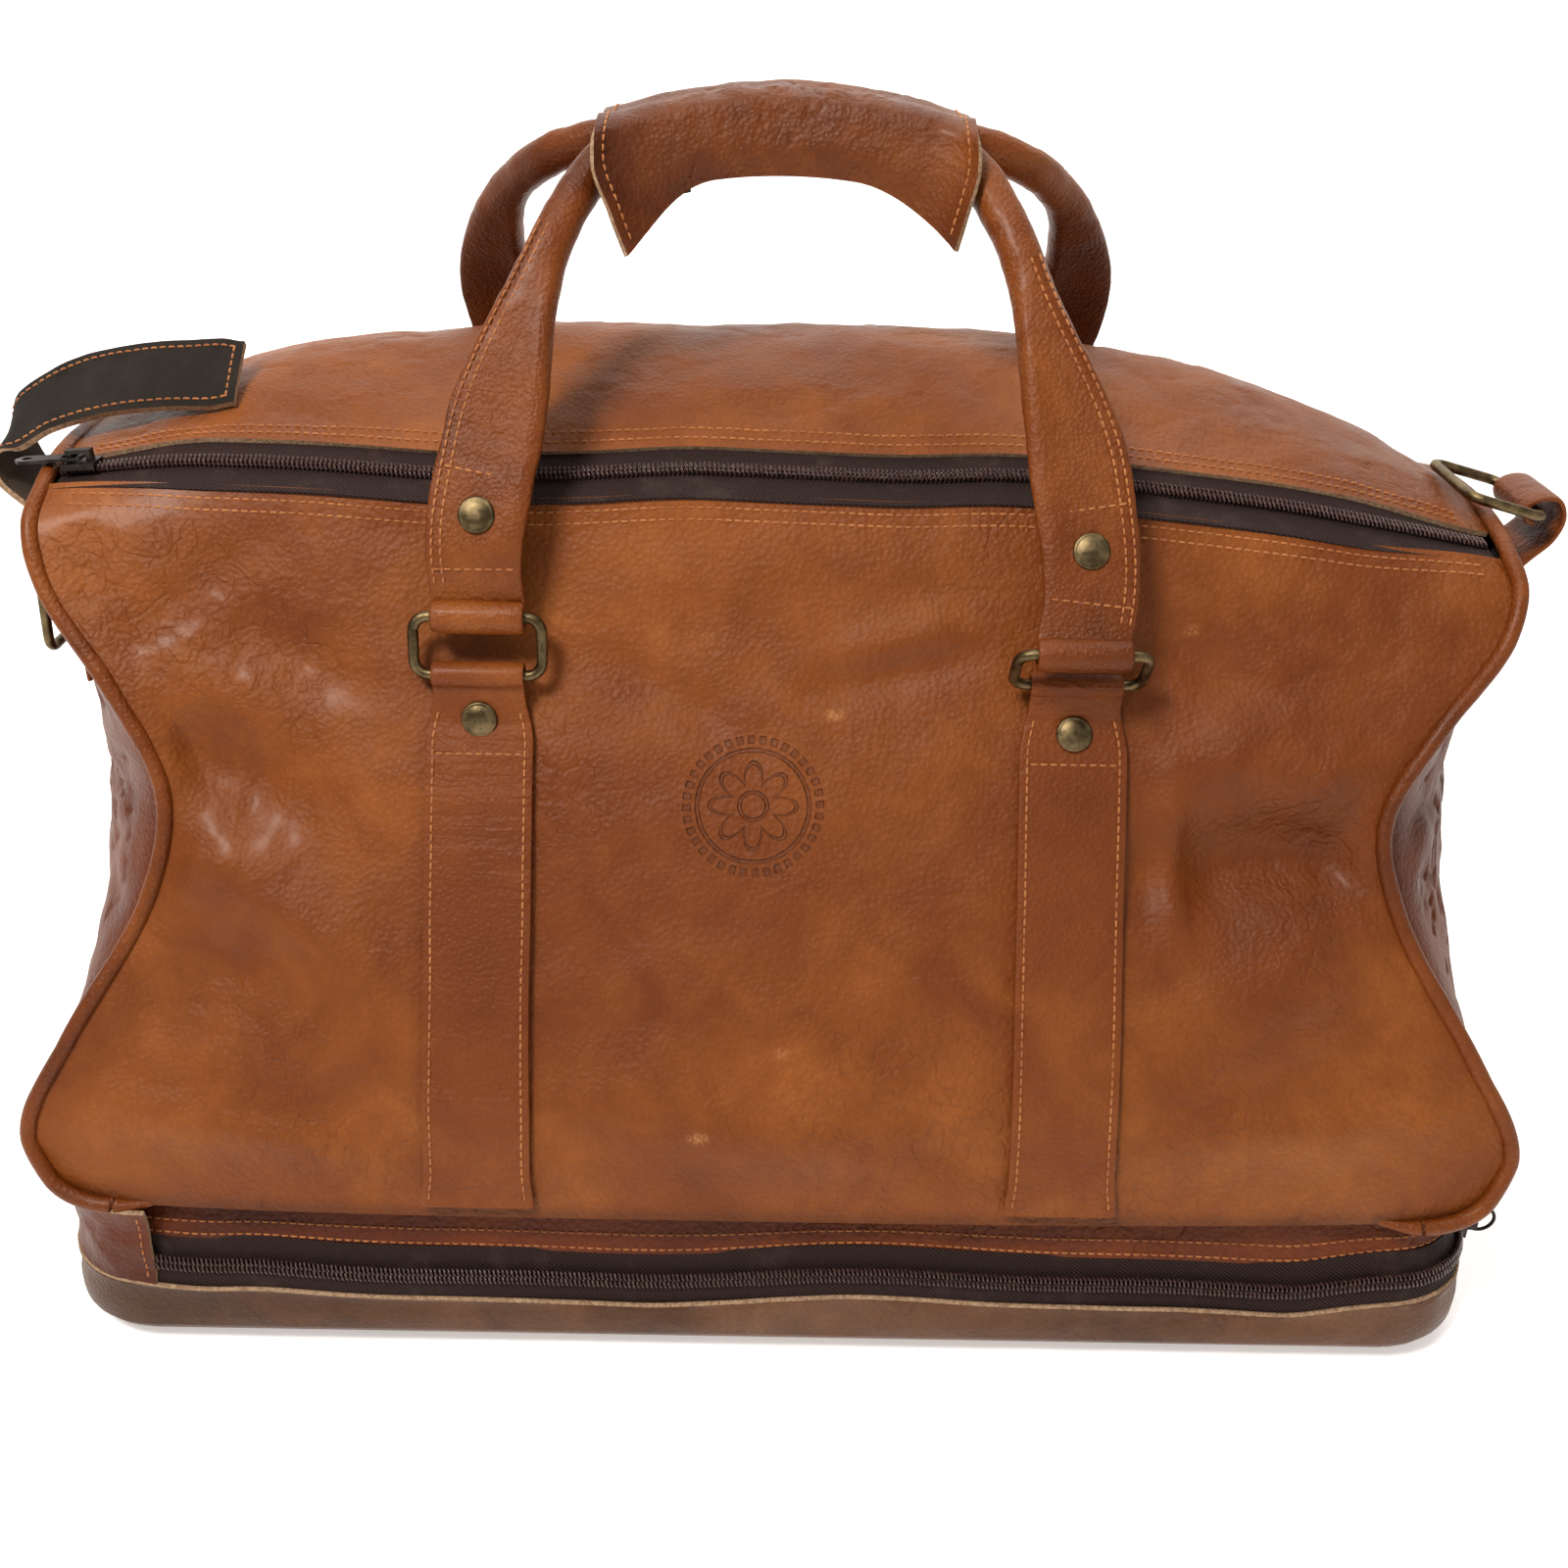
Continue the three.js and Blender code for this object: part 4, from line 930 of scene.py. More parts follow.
upward = np.array([0, 0, 1.0])
inside_base = np.array([0, 0, 34.0])
lower_zip_halves = (
    ("lower", (3.0, 24.5), (5.0, 34.0), -1, "base"),
    ("upper", (5.6, 34.9), (9.0, 44.6), 1, "main"),
)
for name, low, high, hand, body in lower_zip_halves:
    a, b = zip_path(*low), zip_path(*high)
    grid = np.array([a + (b - a) * t for t in np.linspace(0, 1, 9)])
    grid[..., 2] += low_sway(grid[0])[None, :]
    grid[..., 1] += (0.5 - 0.5 * np.sin(grid[..., 0] / 31)) * (grid[..., 1] < -100)
    shape = Shape()
    shape.sheet(grid, 1.2, 0, 0, 0, towards=inside_base)
    edge = grid[-1] if hand < 0 else grid[0]
    out = outward_of(edge)
    lean = np.tile(upward, (len(edge), 1))
    middle_line = edge + out * 1.4
    middle_line[:, 2] += hand * 1.0
    coil_teeth(shape, middle_line, out, lean)
    obj = shape.build(f"base_zip_{name}", [tape, coil])
    place(obj, body, "zip_tape", f"base_zip_tape_{name}")

# The band above the zip, with its pale cut edge and two rows of stitches.
shape = Shape()
rings = []
band_profile = [(9.4, 43.6), (10.0, 46), (14, 53), (17.5, 60.5)]
for inset, z in band_profile:
    ring = even(footprint(inset, z), 520, True)
    ring[:, 2] += low_sway(ring) * (1 - smooth(z, 46, 58))
    out = outward_of(ring, True)
    bulge = 0.8 * ripple(ring * [1, 1, 0.5], 30, 61, 2) * smooth(z, 46, 52) * (1 - smooth(z, 56, 60))
    rings.append(ring + out * bulge[:, None])
grid = np.array(rings)
closed = np.concatenate([grid, grid[:, :1]], 1)
closed_n = outward_of(grid[1], True)
normals = np.repeat(np.concatenate([closed_n, closed_n[:1]])[None], len(grid), 0)
shape.sheet(closed, 2.0, towards=np.array([0, 0, 52.0]), normals=normals)
for row in (closed[1] * 0.75 + closed[0] * 0.25, closed[1] * 0.55 + closed[2] * 0.45):
    shape.stitches(row, normals[0], 3)
place(shape.build("base_zip_leather_band", shaded_leathers), "main", "leather", "base_zip_band")

board_piece("main_compartment_board", [(18.6, 61.0), (18, 61.6), (18, 64), (18.6, 64.5)],
            "main", "main_floor")

# The sewn wall at the back and the gusset at the left end.
shape = Shape()
route = np.vstack([[[273, 97, 0]], footprint(3, 0, 1, 3)])
low = even(route, 300)
grid = np.array([low + [0, 0, z] for z in np.linspace(24.2, 43.2, 10)])
bulge = np.sin(np.linspace(0, np.pi, 10))[:, None, None]
lift = outward_of(low)[None] * (ripple(grid, 22, 71, 3) - 0.6)[..., None] * bulge
n = shape.sheet(grid + np.minimum(lift, 0.8), towards=inside_base)
rows_of_stitches(shape, grid, n, "low", (3.5,), first=3, last=-3)
place(shape.build("base_back_leather_wall", leathers), "base", "leather", "base_back_wall")

shape = Shape()
route = np.vstack([[[-273, 105, 0]], footprint(2.4, 0, 3, 4)[1:], [[-232, -143.6, 0]]])
low = even(route, 200)
grid = np.array([low + [0, 0, z] for z in np.linspace(24.2, 58, 16)])
bulge = np.sin(np.linspace(0, np.pi, 16))[:, None]
lift = (1.6 * np.sin(low[:, 1] / 9.0)[None, :] + 2.2 * ripple(grid, 26, 73, 3) - 1.4) * bulge
grid = grid + outward_of(low)[None] * np.minimum(lift, 0.9)[..., None]
n = shape.sheet(grid, towards=np.array([0, 0, 40.0]))
rows_of_stitches(shape, grid, n, "right", (3.0,), first=1, last=-1)
place(shape.build("base_left_gusset", shaded_leathers), "base", "leather", "base_gusset_left")


# ------------------------------------------------------------------ straps and bands
def band_rings(centres, across, width, thickness, sides=28, power=6.0):
    """Rings of a strap's section along its centre line: a rounded rectangle of that width and thickness."""
    centres = np.asarray(centres, float)
    count = len(centres)
    t = tangents(centres)
    across = np.broadcast_to(np.asarray(across, float), (count, 3))
    wide = unit(across - t * (across * t).sum(1, keepdims=True))
    deep = np.cross(t, wide)
    width = np.broadcast_to(np.asarray(width, float), (count,))[:, None]
    thickness = np.broadcast_to(np.asarray(thickness, float), (count,))[:, None]
    power = np.broadcast_to(np.asarray(power, float), (count,))[:, None]
    a = np.linspace(0, 2 * np.pi, sides, endpoint=False)[None, :]
    c, s = np.cos(a), np.sin(a)
    x = np.sign(c) * np.abs(c) ** (2 / power) * width / 2
    y = np.sign(s) * np.abs(s) ** (2 / power) * thickness / 2
    rings = centres[:, None] + x[..., None] * wide[:, None] + y[..., None] * deep[:, None]
    return rings, wide, deep


def round_bar(bar_y, bar_z, radius, start, sweep, count):
    a = np.radians(start + sweep * np.linspace(0, 1, count))
    return np.stack([bar_y + radius * np.cos(a), bar_z + radius * np.sin(a)], -1)


def cross_stitches(shape, middle, wide, facing, lift, reach, count, slot):
    """A row of stitches straight across a strap."""
    line = np.array([middle + wide * w + facing * lift for w in np.linspace(-reach, reach, count)])
    shape.stitches(line, np.tile(facing, (count, 1)), slot)


# The straps' bars (y and z) and the way each handle ring leans from its bar.
bars = {"front": (-69.4, 246.0), "back": (138.9, 244.0)}
leans = {"front": {-1: (0.2, 0.98), 1: (-0.6, 0.8)}, "back": {-1: (0.0, 1.0), 1: (0.0, 1.0)}}
wire, strap_width, loop_width = 2.0, 39.0, 33.0


def lathe(shape, centre, facing, profile, sides=40, slot=0):
    facing = unit(np.array(facing, float))
    side = unit(np.cross(facing, [0.3, 0.2, 0.9]))
    up = np.cross(facing, side)
    a = np.linspace(0, 2 * np.pi, sides, endpoint=False)
    turn = np.cos(a)[:, None] * side + np.sin(a)[:, None] * up
    shape.rings(np.array([np.array(centre) + facing * h + r * turn for r, h in profile]), slot)


# Radius and height along a rivet cap's section.
rivet_profile = [(6.1, -0.6), (6.45, 0.0), (6.45, 0.55), (6.1, 1.0), (5.6, 1.15), (5.3, 1.1),
                 (4.9, 1.25), (3.9, 1.65), (2.6, 1.95), (1.2, 2.12), (0.15, 2.17)]

strap_slots = [tan_strap, lining, rim, thread]
for face in ("front", "back"):
    hand_out = -1 if face == "front" else 1
    bar_y, bar_z = bars[face]
    for hand, side in hands:
        x = hand * strap_x
        lie = 1.3 + 1.25
        s = np.linspace(0.012, 0.99, 160)
        s = s if face == "front" else 1 - s
        on = shell_at_x(face, np.full(160, x), s)
        on = on[on[:, 2] < bar_z - 14]
        t = unit(np.gradient(on, axis=0))
        yz = np.stack([on[:, 1] + hand_out * lie * t[:, 2], on[:, 2] - hand_out * lie * t[:, 1]], -1)
        start = 240 if hand_out < 0 else 300
        loop = round_bar(bar_y, bar_z, wire + 0.5 + 1.25, start, hand_out * 290, 46)
        whole = np.vstack([yz, loop])
        knots = np.column_stack([np.full(len(whole[::3]), x), whole[::3]])
        path = Route(knots, 6).at(np.linspace(0, 1, 230))
        gap = smooth(path[:, 2], bar_z - 24, bar_z - 6)
        width = strap_width + (loop_width - strap_width) * gap
        width = width + 2.4 * (1 - smooth(path[:, 2], 66, 80)) + 0.5 * ripple(path, 40, 81, 2)
        turned = np.linspace(0, 1, 230) > 0.5
        width = np.where(turned & (path[:, 2] > bar_z - 8), loop_width, width)
        rings, wide, deep = band_rings(path, [1, 0, 0], width, 2.4)
        out_sign = np.sign((deep * [0, hand_out, 0.3]).sum(1).mean())
        wave = 0.35 * np.sin(path[:, 2] / 3.1 + 3 * ripple(path, 20, 82 + hand, 2))
        wave = wave * smooth(ripple(path, 50, 83 + hand, 2), -0.1, 0.4)
        rings = rings + (deep * wave[:, None] * out_sign * (1 - gap)[:, None] * 0.6)[:, None]
        shape = Shape()
        shape.rings(rings, 0)
        flat_part = path[:, 2] < bar_z - 12
        top = np.argmax(~flat_part)
        for edge in (-1, 1):
            across_by = ((width / 2 - 2.9) * edge)[3:top, None]
            row = path[3:top] + wide[3:top] * across_by + deep[3:top] * out_sign * 1.22
            shape.stitches(row, deep[3:top] * out_sign, 3)
        k = int(np.argmin(np.abs(path[:top, 2] - (bar_z - 27))))
        cross_stitches(shape, path[k], wide[k], deep[k] * out_sign, 1.22, 16, 12, 3)
        strap = shape.build(f"strap_leather_{face}_{side}", strap_slots)
        place(strap, "main", "leather", f"strap_{face}_{side}")

        low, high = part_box(f"strap_rivet_{face}_{side}")
        centre = (np.array(low) + np.array(high)) / 2 / MM
        k = int(np.argmin(np.abs(path[:top, 2] - centre[2])))
        facing = deep[k] * out_sign
        seat = path[k] + facing * 1.35
        shape = Shape()
        lathe(shape, seat + facing * 0.3, facing, rivet_profile)
        cap = shape.build(f"strap_rivet_cap_{face}_{side}", [brass])
        place(cap, "main", "antique_brass", f"strap_rivet_{face}_{side}")


# ------------------------------------------------------------------ rings
def wire_loop(length, height, radius, place_at, corner=5.5):
    """A rounded rectangle of wire, its lower bar at the origin."""
    half, rise = length / 2 - radius - corner, height - 2 * radius - corner
    outline = []
    for a, b, start in ((half, corner, -90), (half, rise, 0), (-half, rise, 90), (-half, corner, 180)):
        for k in range(9):
            angle = math.radians(start + 90 * k / 8)
            outline.append((a + corner * math.cos(angle), b + corner * math.sin(angle)))
    flat = even(np.array([(a, b, 0) for a, b in outline]), 120, True)
    shape = Shape()
    shape.tube(np.array([place_at(a, b) for a, b, _ in flat]), radius, 14, loop=True)
    return shape


for face in ("front", "back"):
    bar_y, bar_z = bars[face]
    for hand, side in hands:
        lean_y, lean_z = leans[face][hand]
        ring = wire_loop(50, 25, wire, lambda a, b: (hand * strap_x + a, bar_y + lean_y * b, bar_z + lean_z * b))
        ring_piece = ring.build(f"handle_ring_{face}_{side}", [brass])
        place(ring_piece, f"{face}_handle", "antique_brass", f"ring_{face}_{side}")

right_lean = (-0.966, 0.259)
ring = wire_loop(50, 34, wire, lambda a, b: (288 + right_lean[0] * b, 12 + a, 292 + right_lean[1] * b))
place(ring.build("shoulder_ring_right", [brass]), "ring_right", "antique_brass", "ring_right")
ring = wire_loop(50, 34, wire, lambda a, b: (-285.5 - 0.05 * b, 12 + a, 258 - b))
place(ring.build("shoulder_ring_left", [brass]), "ring_left", "antique_brass", "ring_left")

# ------------------------------------------------------------------ handles
handle_data = {
    "front": dict(outward=-1, plane=(0, -0.91, 0.41),
                  lower={-1: [[107, -62, 290], [101, -46, 325]], 1: [[109, -70, 282], [104, -51, 319]]},
                  upper=[[91, -25, 362], [78, -4, 394], [62, 14, 413], [34, 21, 422], [0, 23, 425]]),
    "back": dict(outward=1, plane=(0, 0.9, 0.44),
                 lower={-1: [[109, 132, 288], [117, 122, 322]], 1: [[109, 132, 288], [117, 122, 322]]},
                 upper=[[122, 106, 356], [112, 80, 388], [88, 52, 408], [62, 43, 416], [34, 41.5, 423], [0, 41, 426]]),
}
grip_radius = 7.5
handle_routes = {}
for face, data in handle_data.items():
    bar_y, bar_z = bars[face]
    outward = data["outward"]
    start = 60 if outward < 0 else 120
    bar_x = data["lower"][-1][0][0] - 0.5
    halves = {}
    for hand in (-1, 1):
        lean_y, lean_z = leans[face][hand]
        upper_y, upper_z = bar_y + lean_y * 21, bar_z + lean_z * 21
        loop = round_bar(upper_y, upper_z, wire + 0.5 + 1.8, start + outward * -290, outward * 290, 11)
        strap = [[hand * x, y, z] for x, y, z in data["lower"][hand] + data["upper"]]
        halves[hand] = [[hand * bar_x, y, z] for y, z in loop] + strap
    route = Route(halves[-1] + halves[1][:-1][::-1])
    handle_routes[face] = route
    total = route.length
    long_part = np.linspace(28.5, total - 28.5, 260)
    distance = np.concatenate([np.linspace(0, 27, 40), long_part, np.linspace(total - 27, total, 40)])
    centre = route.at(distance / total)
    reach = np.minimum(distance, total - distance)
    roll = smooth(reach, 0.15 * total, 0.30 * total)
    looped = 1 - smooth(reach, 30, 55)
    t = tangents(route.at(np.linspace(0, 1, 2000)))
    t = np.stack([np.interp(distance / total, np.linspace(0, 1, 2000), t[:, k]) for k in range(3)], -1)
    plane = unit(np.array(data["plane"], float))
    in_plane = unit(np.cross(t, plane))
    sign = np.where(in_plane[:, :1] >= 0, 1.0, -1.0)
    half_sign = np.where(distance[:, None] < total / 2, sign[60], sign[-60])
    across = unit(in_plane * (1 - looped[:, None]) + np.array([1.0, 0, 0]) * half_sign * looped[:, None])
    flat_width = 35 + (loop_width - 35) * looped
    width = flat_width + (2 * grip_radius - flat_width) * roll
    thick = 3.6 + (1.8 * grip_radius - 3.6) * roll
    power = 5.0 - 2.9 * roll
    rings, wide, deep = band_rings(centre, across, width, thick, 36, power)
    facing = np.sign((deep * plane).sum(1))
    facing = np.where(looped > 0.4, np.sign((deep[60] * plane).sum()), facing)
    outer_side = np.where(distance < total / 2, -1.0, 1.0) * np.sign(wide[:, 0])
    # A soft fold: the inner edge is rounder and thicker than the stitched outer edge.
    local_x = ((rings - centre[:, None]) * wide[:, None]).sum(2) * outer_side[:, None] / (width[:, None] / 2)
    local_y = ((rings - centre[:, None]) * deep[:, None]).sum(2)
    soft = (1 - roll) * smooth(reach, 30, 60)
    rounding = 0.75 * np.exp(-((local_x + 0.75) / 0.3) ** 2) - 0.12 * smooth(local_x, 0.4, 1.0)
    swell = 1 + soft[:, None] * rounding
    rings = rings + deep[:, None] * (local_y * (swell - 1))[..., None]
    lumps = 0.45 * ripple(rings, 17, 91, 3) * smooth(reach, 30, 60)[:, None]
    rings = rings + unit(rings - centre[:, None]) * lumps[..., None]
    shape = Shape()
    shape.rings(rings, 0, wear_and_shade=-0.35 * np.exp(-((local_x - 1.0) / 0.10) ** 2) * (1 - roll[:, None]))
    surface = deep * facing[:, None]
    for begin, finish_at in ((30, 0.30 * total), (total - 0.30 * total, total - 30)):
        part = (distance > begin) & (distance < finish_at)
        for inset in (2.4, 5.6):
            across_by = (outer_side * np.maximum(width / 2 - inset, 0.5))[part, None]
            row = centre[part] + wide[part] * across_by + surface[part] * (thick[part, None] / 2 * 0.96)
            shape.stitches(row, surface[part], 3)
    for end in (1, -1):
        for level in (36, 68):
            k = int(np.argmin(np.abs(distance - (level if end > 0 else total - level))))
            cross_stitches(shape, centre[k], wide[k], surface[k], thick[k] / 2, 14.5, 12, 3)
    handle = shape.build(f"handle_leather_{face}", [tan_handle, lining, rim, thread])
    place(handle, f"{face}_handle", "leather", f"handle_{face}")
    for end, side in ((1, "left"), (-1, "right")):
        k = int(np.argmin(np.abs(distance - (54 if end > 0 else total - 54))))
        shape = Shape()
        lathe(shape, centre[k] + surface[k] * (thick[k] / 2 + 0.25), surface[k], rivet_profile)
        cap = shape.build(f"handle_rivet_cap_{face}_{side}", [brass])
        place(cap, f"{face}_handle", "antique_brass", f"handle_rivet_{face}_{side}")


# ------------------------------------------------------------------ grip wrap
grip_lines = {face: route.at(np.linspace(0.2, 0.8, 1200)) for face, route in handle_routes.items()}


def grip_centre(face, x):
    """The point of a grip's centre line at that x, and how steeply the line runs there."""
    line = grip_lines[face]
    k = int(np.argmin(np.abs(line[:, 0] - x)))
    slope = line[min(k + 1, 1199)] - line[max(k - 1, 0)]
    return line[k], np.linalg.norm(slope) / abs(slope[0])


below_grip = np.array([0, 32, 380.0])
section_rows = []
for x in np.linspace(-66.5, 66.5, 121):
    front, steep_f = grip_centre("front", x)
    back, steep_b = grip_centre("back", x)
    reach = grip_radius + 2.6
    rf, rb = reach * steep_f, reach * steep_b
    face_y = front[1] - rf
    corner = smooth(abs(x), 25, 66)
    drop = 18.5 + (9.5 if x < 0 else 6.0) * corner
    inward = 1 - (0.17 if x < 0 else 0.10) * corner
    knots = [
        (x, back[1] + rb * 0.92, back[2] + 1.0),
        (x, back[1] + rb * 0.72, back[2] + rb * 0.70),
        (x, back[1], back[2] + rb),
        (x, (front[1] + back[1]) / 2, (front[2] + back[2]) / 2 + (rf + rb) / 2 - 0.9),
        (x, front[1], front[2] + rf),
        (x, front[1] - rf * 0.72, front[2] + rf * 0.70),
        (x, face_y, front[2] + 0.5),
        (x * (1 + inward) / 2, face_y - 2.6, front[2] - drop * 0.5),
        (x * inward, face_y - 1.2 - 2.0 * corner, front[2] - drop),
    ]
    section_rows.append(Route(knots).at(np.linspace(0, 1, 72)))
grid = np.swapaxes(np.array(section_rows), 0, 1)
n = grid_normals(grid, below_grip)
x = grid[..., 0]
v = np.linspace(0, 1, 72)[:, None]
cross_crease = np.sin(x / 3.4 + 5.0 * ripple(grid, 30, 101, 2)) * np.exp(-((x + 4) / 34) ** 2)
cross_crease = cross_crease * np.exp(-((v - 0.48) / 0.20) ** 2)
lift = 0.55 * cross_crease + 0.8 * creases(grid * [1, 0.7, 0.7], 15, 102) * np.exp(-(x / 46) ** 2)
lift = lift + 0.6 * ripple(grid, 24, 103, 3)
lift = lift * smooth(v, 0, 0.12) * (1 - smooth(v, 0.82, 1.0))
grid = grid + n * lift[..., None]
shape = Shape()
# Painted shade in the valleys of the cross creases.
wrap_normals = shape.sheet(grid, 1.8, towards=below_grip, wear_and_shade=-0.25 * np.clip(-cross_crease, 0, 1))
rows_of_stitches(shape, grid, wrap_normals, "left", (4.5,), first=2, last=-2)
rows_of_stitches(shape, grid, wrap_normals, "right", (4.5,), first=2, last=-2)
wrap = shape.build("grip_wrap_leather", [tan_wrap, lining, rim, thread])
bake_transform(wrap)
lengthways, depth, height = np.array([v.co[:] for v in wrap.data.vertices]).T / MM
front_line = grip_lines["front"][np.argsort(grip_lines["front"][:, 0])]
reference = np.interp(lengthways, front_line[:, 0], front_line[:, 2])
weight = (1 - smooth(height - reference, -7.0, 4.0)) * (depth < 22)
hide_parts("handle_wrap", "wrap_skirt")

shape = Shape()
low, high = (np.array(v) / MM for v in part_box("wrap_hook_strip"))
rows = []
for x in np.linspace(low[0] + 1, high[0] - 1, 26):
    front, steep_f = grip_centre("front", x)
    face_y = front[1] - (grip_radius + 2.6) * steep_f
    rows.append([(x, face_y + 1.6, front[2] - d) for d in np.linspace(13.5, 21.5, 12)])
grid = np.swapaxes(np.array(rows), 0, 1)
n = shape.sheet(grid, 1.0, 0, 0, 0, towards=below_grip)
hooks = flesh_look("hook_tape", (0.012, 0.010, 0.009), (0.050, 0.045, 0.040))
place(shape.build("wrap_hook_tape", [hooks]), "wrap_skirt", "hook_tape", "wrap_hook_strip")

# ------------------------------------------------------------------ top zip
along = np.linspace(-262, 262, 420)
sway = zip_sway(along)
level = zip_height(along) + zip_wave(along)
for hand, name in ((-1, "front"), (1, "back")):
    rows = []
    for offset in (0.5, 3.0, 6.0, 9.0, 11.0):
        z = level - 1.9 + hand * 0.56 * offset * zip_tilt(along) + 0.2 * np.sin(along / 17 + offset)
        rows.append(np.stack([along, zip_y + hand * offset + sway, z], -1))
    shape = Shape()
    shape.sheet(np.array(rows), 1.1, 0, 0, 0, towards=np.array([0, zip_y, 100.0]))
    line = np.stack([along, zip_y + hand * 1.0 + sway, level - 0.3 + hand * 0.5 * zip_tilt(along)], -1)
    coil_teeth(shape, line, np.tile([0, -0.4, 0.9], (420, 1)), np.tile([0, 0.9, 0.4], (420, 1)))
    obj = shape.build(f"top_zip_{name}", [tape, coil])
    if hand < 0:
        place(obj, "main", "zip_tape", "top_zip_tape_front")
    else:
        bend_with_flap(obj)
        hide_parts("top_zip_tape_back", "top_zip_tape_end_left", "top_zip_tape_end_right")

# ------------------------------------------------------------------ sliders and pulls
for name in ("top_slider", "top_pull", "base_slider_front", "base_slider_back"):
    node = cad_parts[name]
    node.data.materials.clear()
    node.data.materials.append(black)
    soften = node.modifiers.new("soft_edges", "BEVEL")
    soften.width = 0.35 * MM if "pull" in name else 0.5 * MM
    soften.segments = 2
    soften.limit_method = "ANGLE"
    soften.angle_limit = math.radians(35)

for name, y in (("front", -106.5), ("back", -92.5)):
    a = np.linspace(0, 2 * np.pi, 72, endpoint=False)
    circle = np.stack([272.7 + 3.85 + 5.5 + 5.5 * np.cos(a), np.full(72, y), 34.5 + 5.5 * np.sin(a)], -1)
    shape = Shape()
    shape.tube(circle, 0.7, 10, loop=True, up=(0, 1, 0.001))
    pull = shape.build(f"base_pull_wire_{name}", [black])
    place(pull, f"base_pull_{name}", "black_metal", f"base_pull_{name}")

# ------------------------------------------------------------------ shoulder tabs
keeper_paths = {
    "right": [[277, 230], [278.5, 255], [286, 270], [296, 281], [298.6, 290], [295, 296.5],
              [288, 296.6], [283.7, 293.4], [284.6, 288.6], [287.4, 287.2]],
    "left": [[-276.8, 212], [-277.5, 238], [-278.5, 250], [-281.2, 257], [-283.5, 261.2],
             [-287.5, 261.2], [-289.6, 257.6], [-287.8, 254.2], [-284.6, 253.4]],
}
for side, points in keeper_paths.items():
    route = Route([[x, 12, z] for x, z in points])
    centre = route.at(np.linspace(0, 1, 140))
    reach = np.linspace(0, 1, 140)
    width = 33 + 1.2 * np.exp(-(reach / 0.2) ** 2)
    rings, wide, deep = band_rings(centre, [0, 1, 0], width, 2.4, 28, 5.0)
    lumps = (0.25 * ripple(rings, 16, 111, 2))[..., None]
    rings = rings + deep[:, None] * lumps * smooth(reach, 0.05, 0.3)[:, None, None]
    shape = Shape()
    shape.rings(rings, 0)
    hand = 1 if side == "right" else -1
    out = deep * np.sign((deep[10] * [hand, 0, 0]).sum())
    last = int(140 * (0.48 if side == "right" else 0.55))
    for edge in (-1, 1):
        row = centre[4:last] + wide[4:last] * 13.6 * edge + out[4:last] * 1.2
        shape.stitches(row, out[4:last], 1)
    cross_stitches(shape, centre[5], wide[5], out[5], 1.2, 13, 10, 1)
    place(shape.build(f"ring_tab_{side}", [tan_strap, thread]), "main", "leather", f"ring_keeper_{side}")

tab_points = [[-279.5, 274], [-286, 283], [-295.5, 296], [-296, 308],
              [-284, 318], [-266, 326], [-243, 331], [-205, 333]]
route = Route([[x, 12, z] for x, z in tab_points])
share = np.linspace(0, 1, 160)
centre = route.at(share)
tilt = smooth(share, 0.08, 0.35)[:, None]
across = np.array([0, 1.0, 0]) * (1 - tilt) + np.array([0, 0.82, 0.57]) * tilt
t = tangents(centre)
wide = unit(across - t * (across * t).sum(1, keepdims=True))
columns = np.linspace(-16.5, 16.5, 34)
tip = 1 - 0.10 * smooth(share, 0.93, 1.0)[:, None]
grid = centre[:, None] + wide[:, None] * (columns[None, :] * tip)[..., None]
deep = unit(np.cross(t, wide))
deep = deep * np.sign((deep[:, 2] - deep[:, 0]).sum())
cup = (columns / 16.5)[None, :] ** 2 * 1.5 * smooth(share, 0.3, 0.7)[:, None]
grid = grid + deep[:, None] * (1.25 + 0.5 * ripple(grid, 28, 121, 3) - cup * 0.5)[..., None]
shape = Shape()
normals = np.repeat(deep[:, None], 34, 1)
n = shape.sheet(grid, 2.4, 0, 1, 2, normals=normals)
rows_of_stitches(shape, grid, n, "left", (3.4,), first=2, last=-3)
rows_of_stitches(shape, grid, n, "right", (3.4,), first=2, last=-3)
rows_of_stitches(shape, grid, n, "high", (3.4,), first=3, last=-3)
place(shape.build("closing_tab_left", [lining, flesh, rim, thread]), "tab_left", "tab_leather", "tab_left")

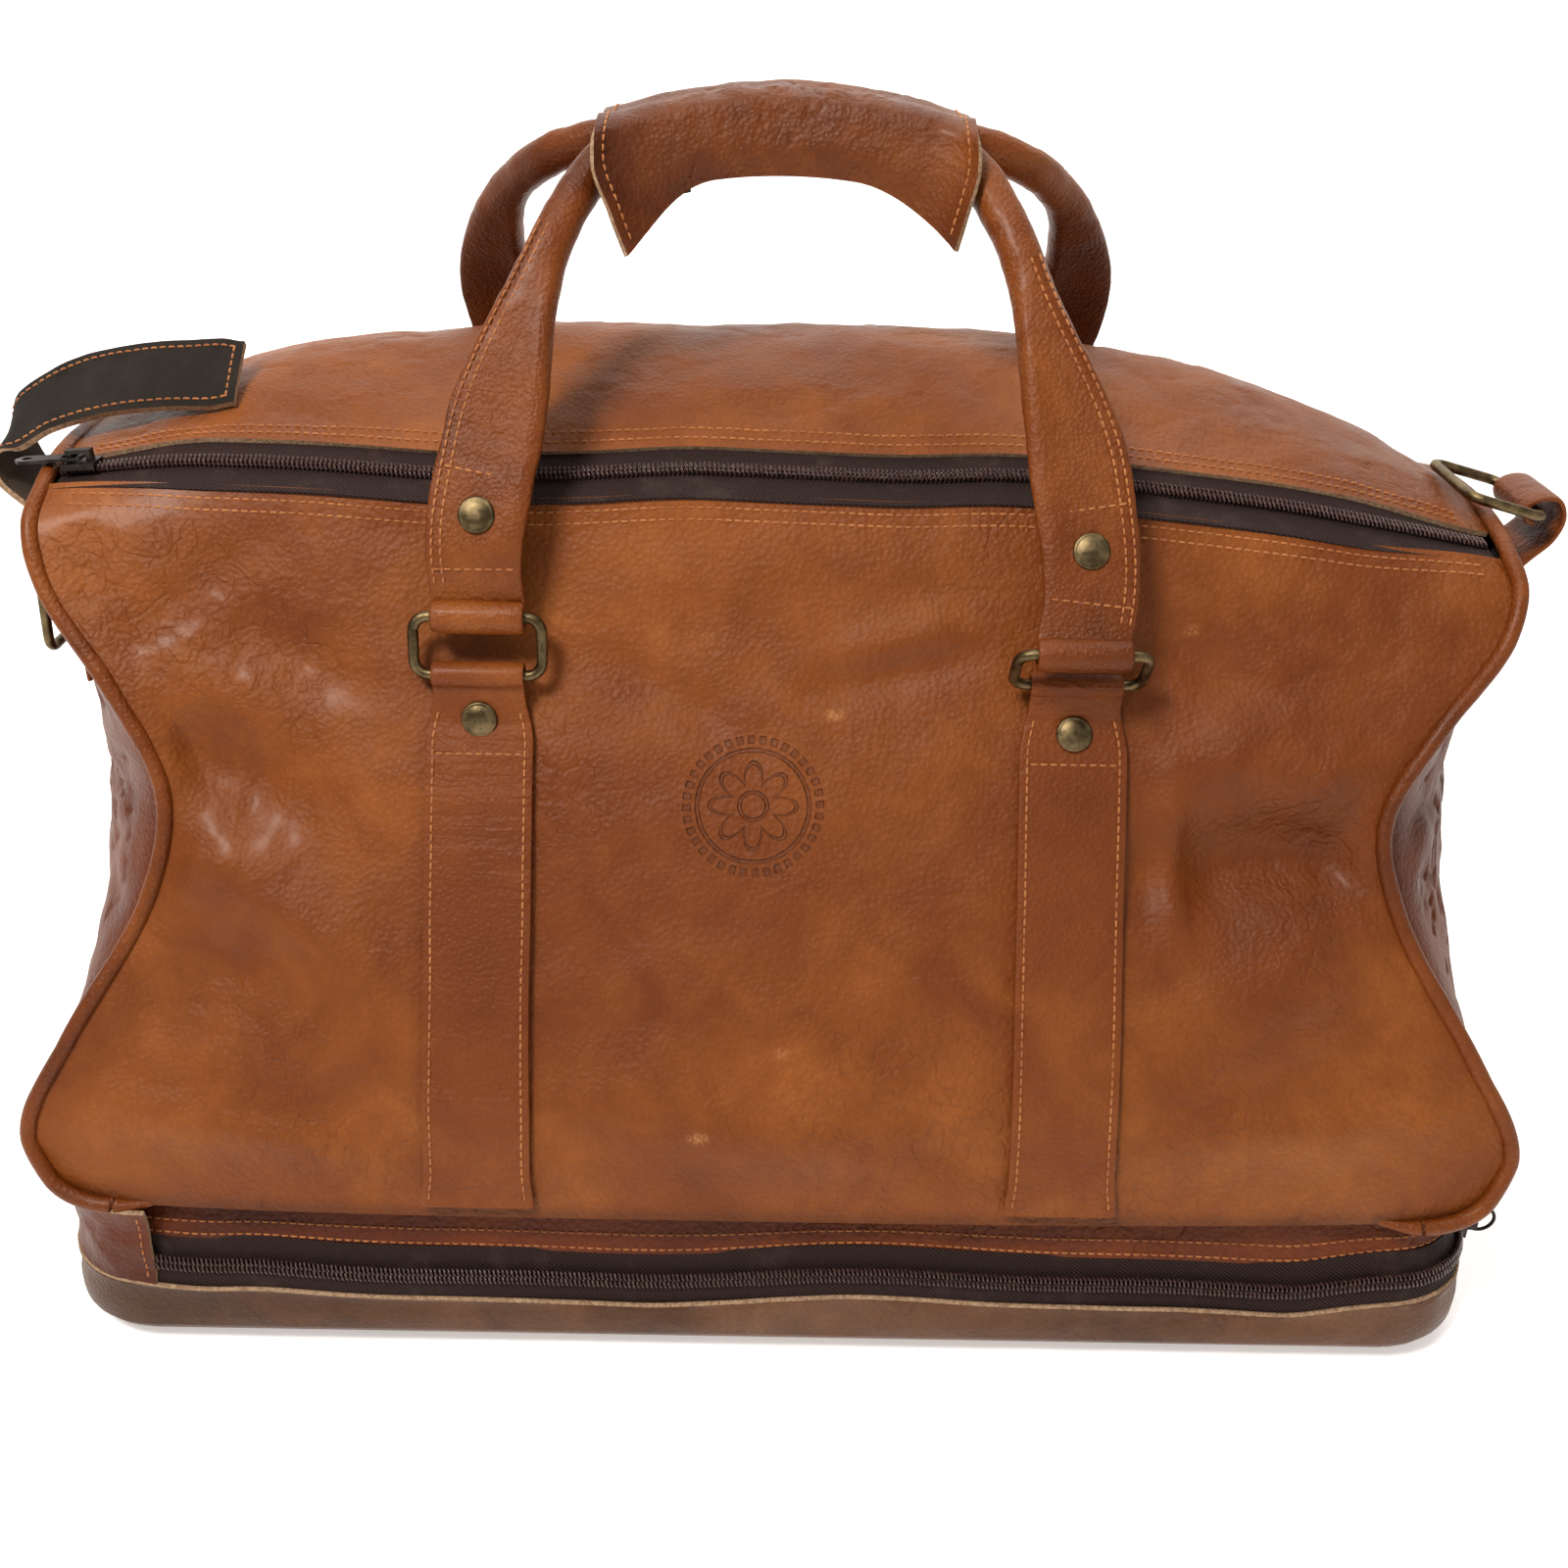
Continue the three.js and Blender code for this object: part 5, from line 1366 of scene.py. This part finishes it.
# ------------------------------------------------------------------ floor, light and camera
floor_look = Look("floor_pale")
cloud = floor_look.noise(3.0, 4.0, 0.5)
floor_color = floor_look.mix(floor_look.span(cloud, 0.3, 0.7), (0.88, 0.86, 0.84), (0.92, 0.90, 0.89))
floor_look.put(floor_look.shader.inputs["Emission Color"], (1.0, 0.98, 0.965))
floor_look.put(floor_look.shader.inputs["Emission Strength"], 0.38)
floor_look.finish(floor_color, floor_look.span(cloud, 0.3, 0.7, 0.42, 0.55), floor_look.bump(cloud, 0.0002, 0.2))
shape = Shape()
profile = [(-2500, 0), (700, 0), (900, 12), (1060, 60), (1180, 150), (1260, 290), (1300, 470), (1300, 2400)]
curve = Route([[0, y, z] for y, z in profile]).at(np.linspace(0, 1, 90))
grid = np.array([[(x, p[1], p[2]) for x in np.linspace(-2600, 2600, 3)] for p in curve])
start = shape.add(grid)
shape.quads(start, 90, 3, 0)
floor = shape.build("floor", [floor_look.material])


def area_light(name, position, target, size, power, tint):
    data = bpy.data.lights.new(name, "AREA")
    data.shape = "RECTANGLE"
    data.size, data.size_y = size
    data.energy = power
    data.color = tint
    obj = bpy.data.objects.new(name, data)
    obj.location = position
    obj.rotation_euler = (Vector(target) - Vector(position)).to_track_quat("-Z", "Y").to_euler()
    bpy.context.scene.collection.objects.link(obj)
    return obj


area_light("key", (-0.55, -0.80, 1.45), (0, 0, 0.2), (0.40, 0.30), 19.5, (1.0, 0.965, 0.92))
area_light("fill", (1.5, -1.3, 0.9), (0, 0, 0.15), (1.4, 1.2), 2.5, (1.0, 0.97, 0.94))
area_light("top", (0.2, 0.5, 1.9), (0, 0.05, 0.2), (1.6, 1.2), 12.5, (1.0, 0.98, 0.96))
scene = bpy.context.scene
world = bpy.data.worlds.new("studio")
world.use_nodes = True
world.node_tree.nodes["Background"].inputs[0].default_value = (1.0, 0.98, 0.96, 1.0)
world.node_tree.nodes["Background"].inputs[1].default_value = 0.34
scene.world = world
scene.view_settings.view_transform = "Standard"
scene.view_settings.look = "Medium High Contrast"

# The camera stands in front of the bag and looks down at it, in metres and degrees.
camera_data = bpy.data.cameras.new("camera")
camera_data.sensor_width = 36.0
camera_data.lens = 38.3
camera = bpy.data.objects.new("camera", camera_data)
scene.collection.objects.link(camera)
pitch, tilt = math.radians(27.4), math.radians(0.97)
turn = Matrix.Rotation(math.pi / 2 - pitch, 4, "X") @ Matrix.Rotation(tilt, 4, "Z")
camera.rotation_euler = turn.to_euler()
camera.location = (0.003, -0.617, 0.488)
scene.camera = camera
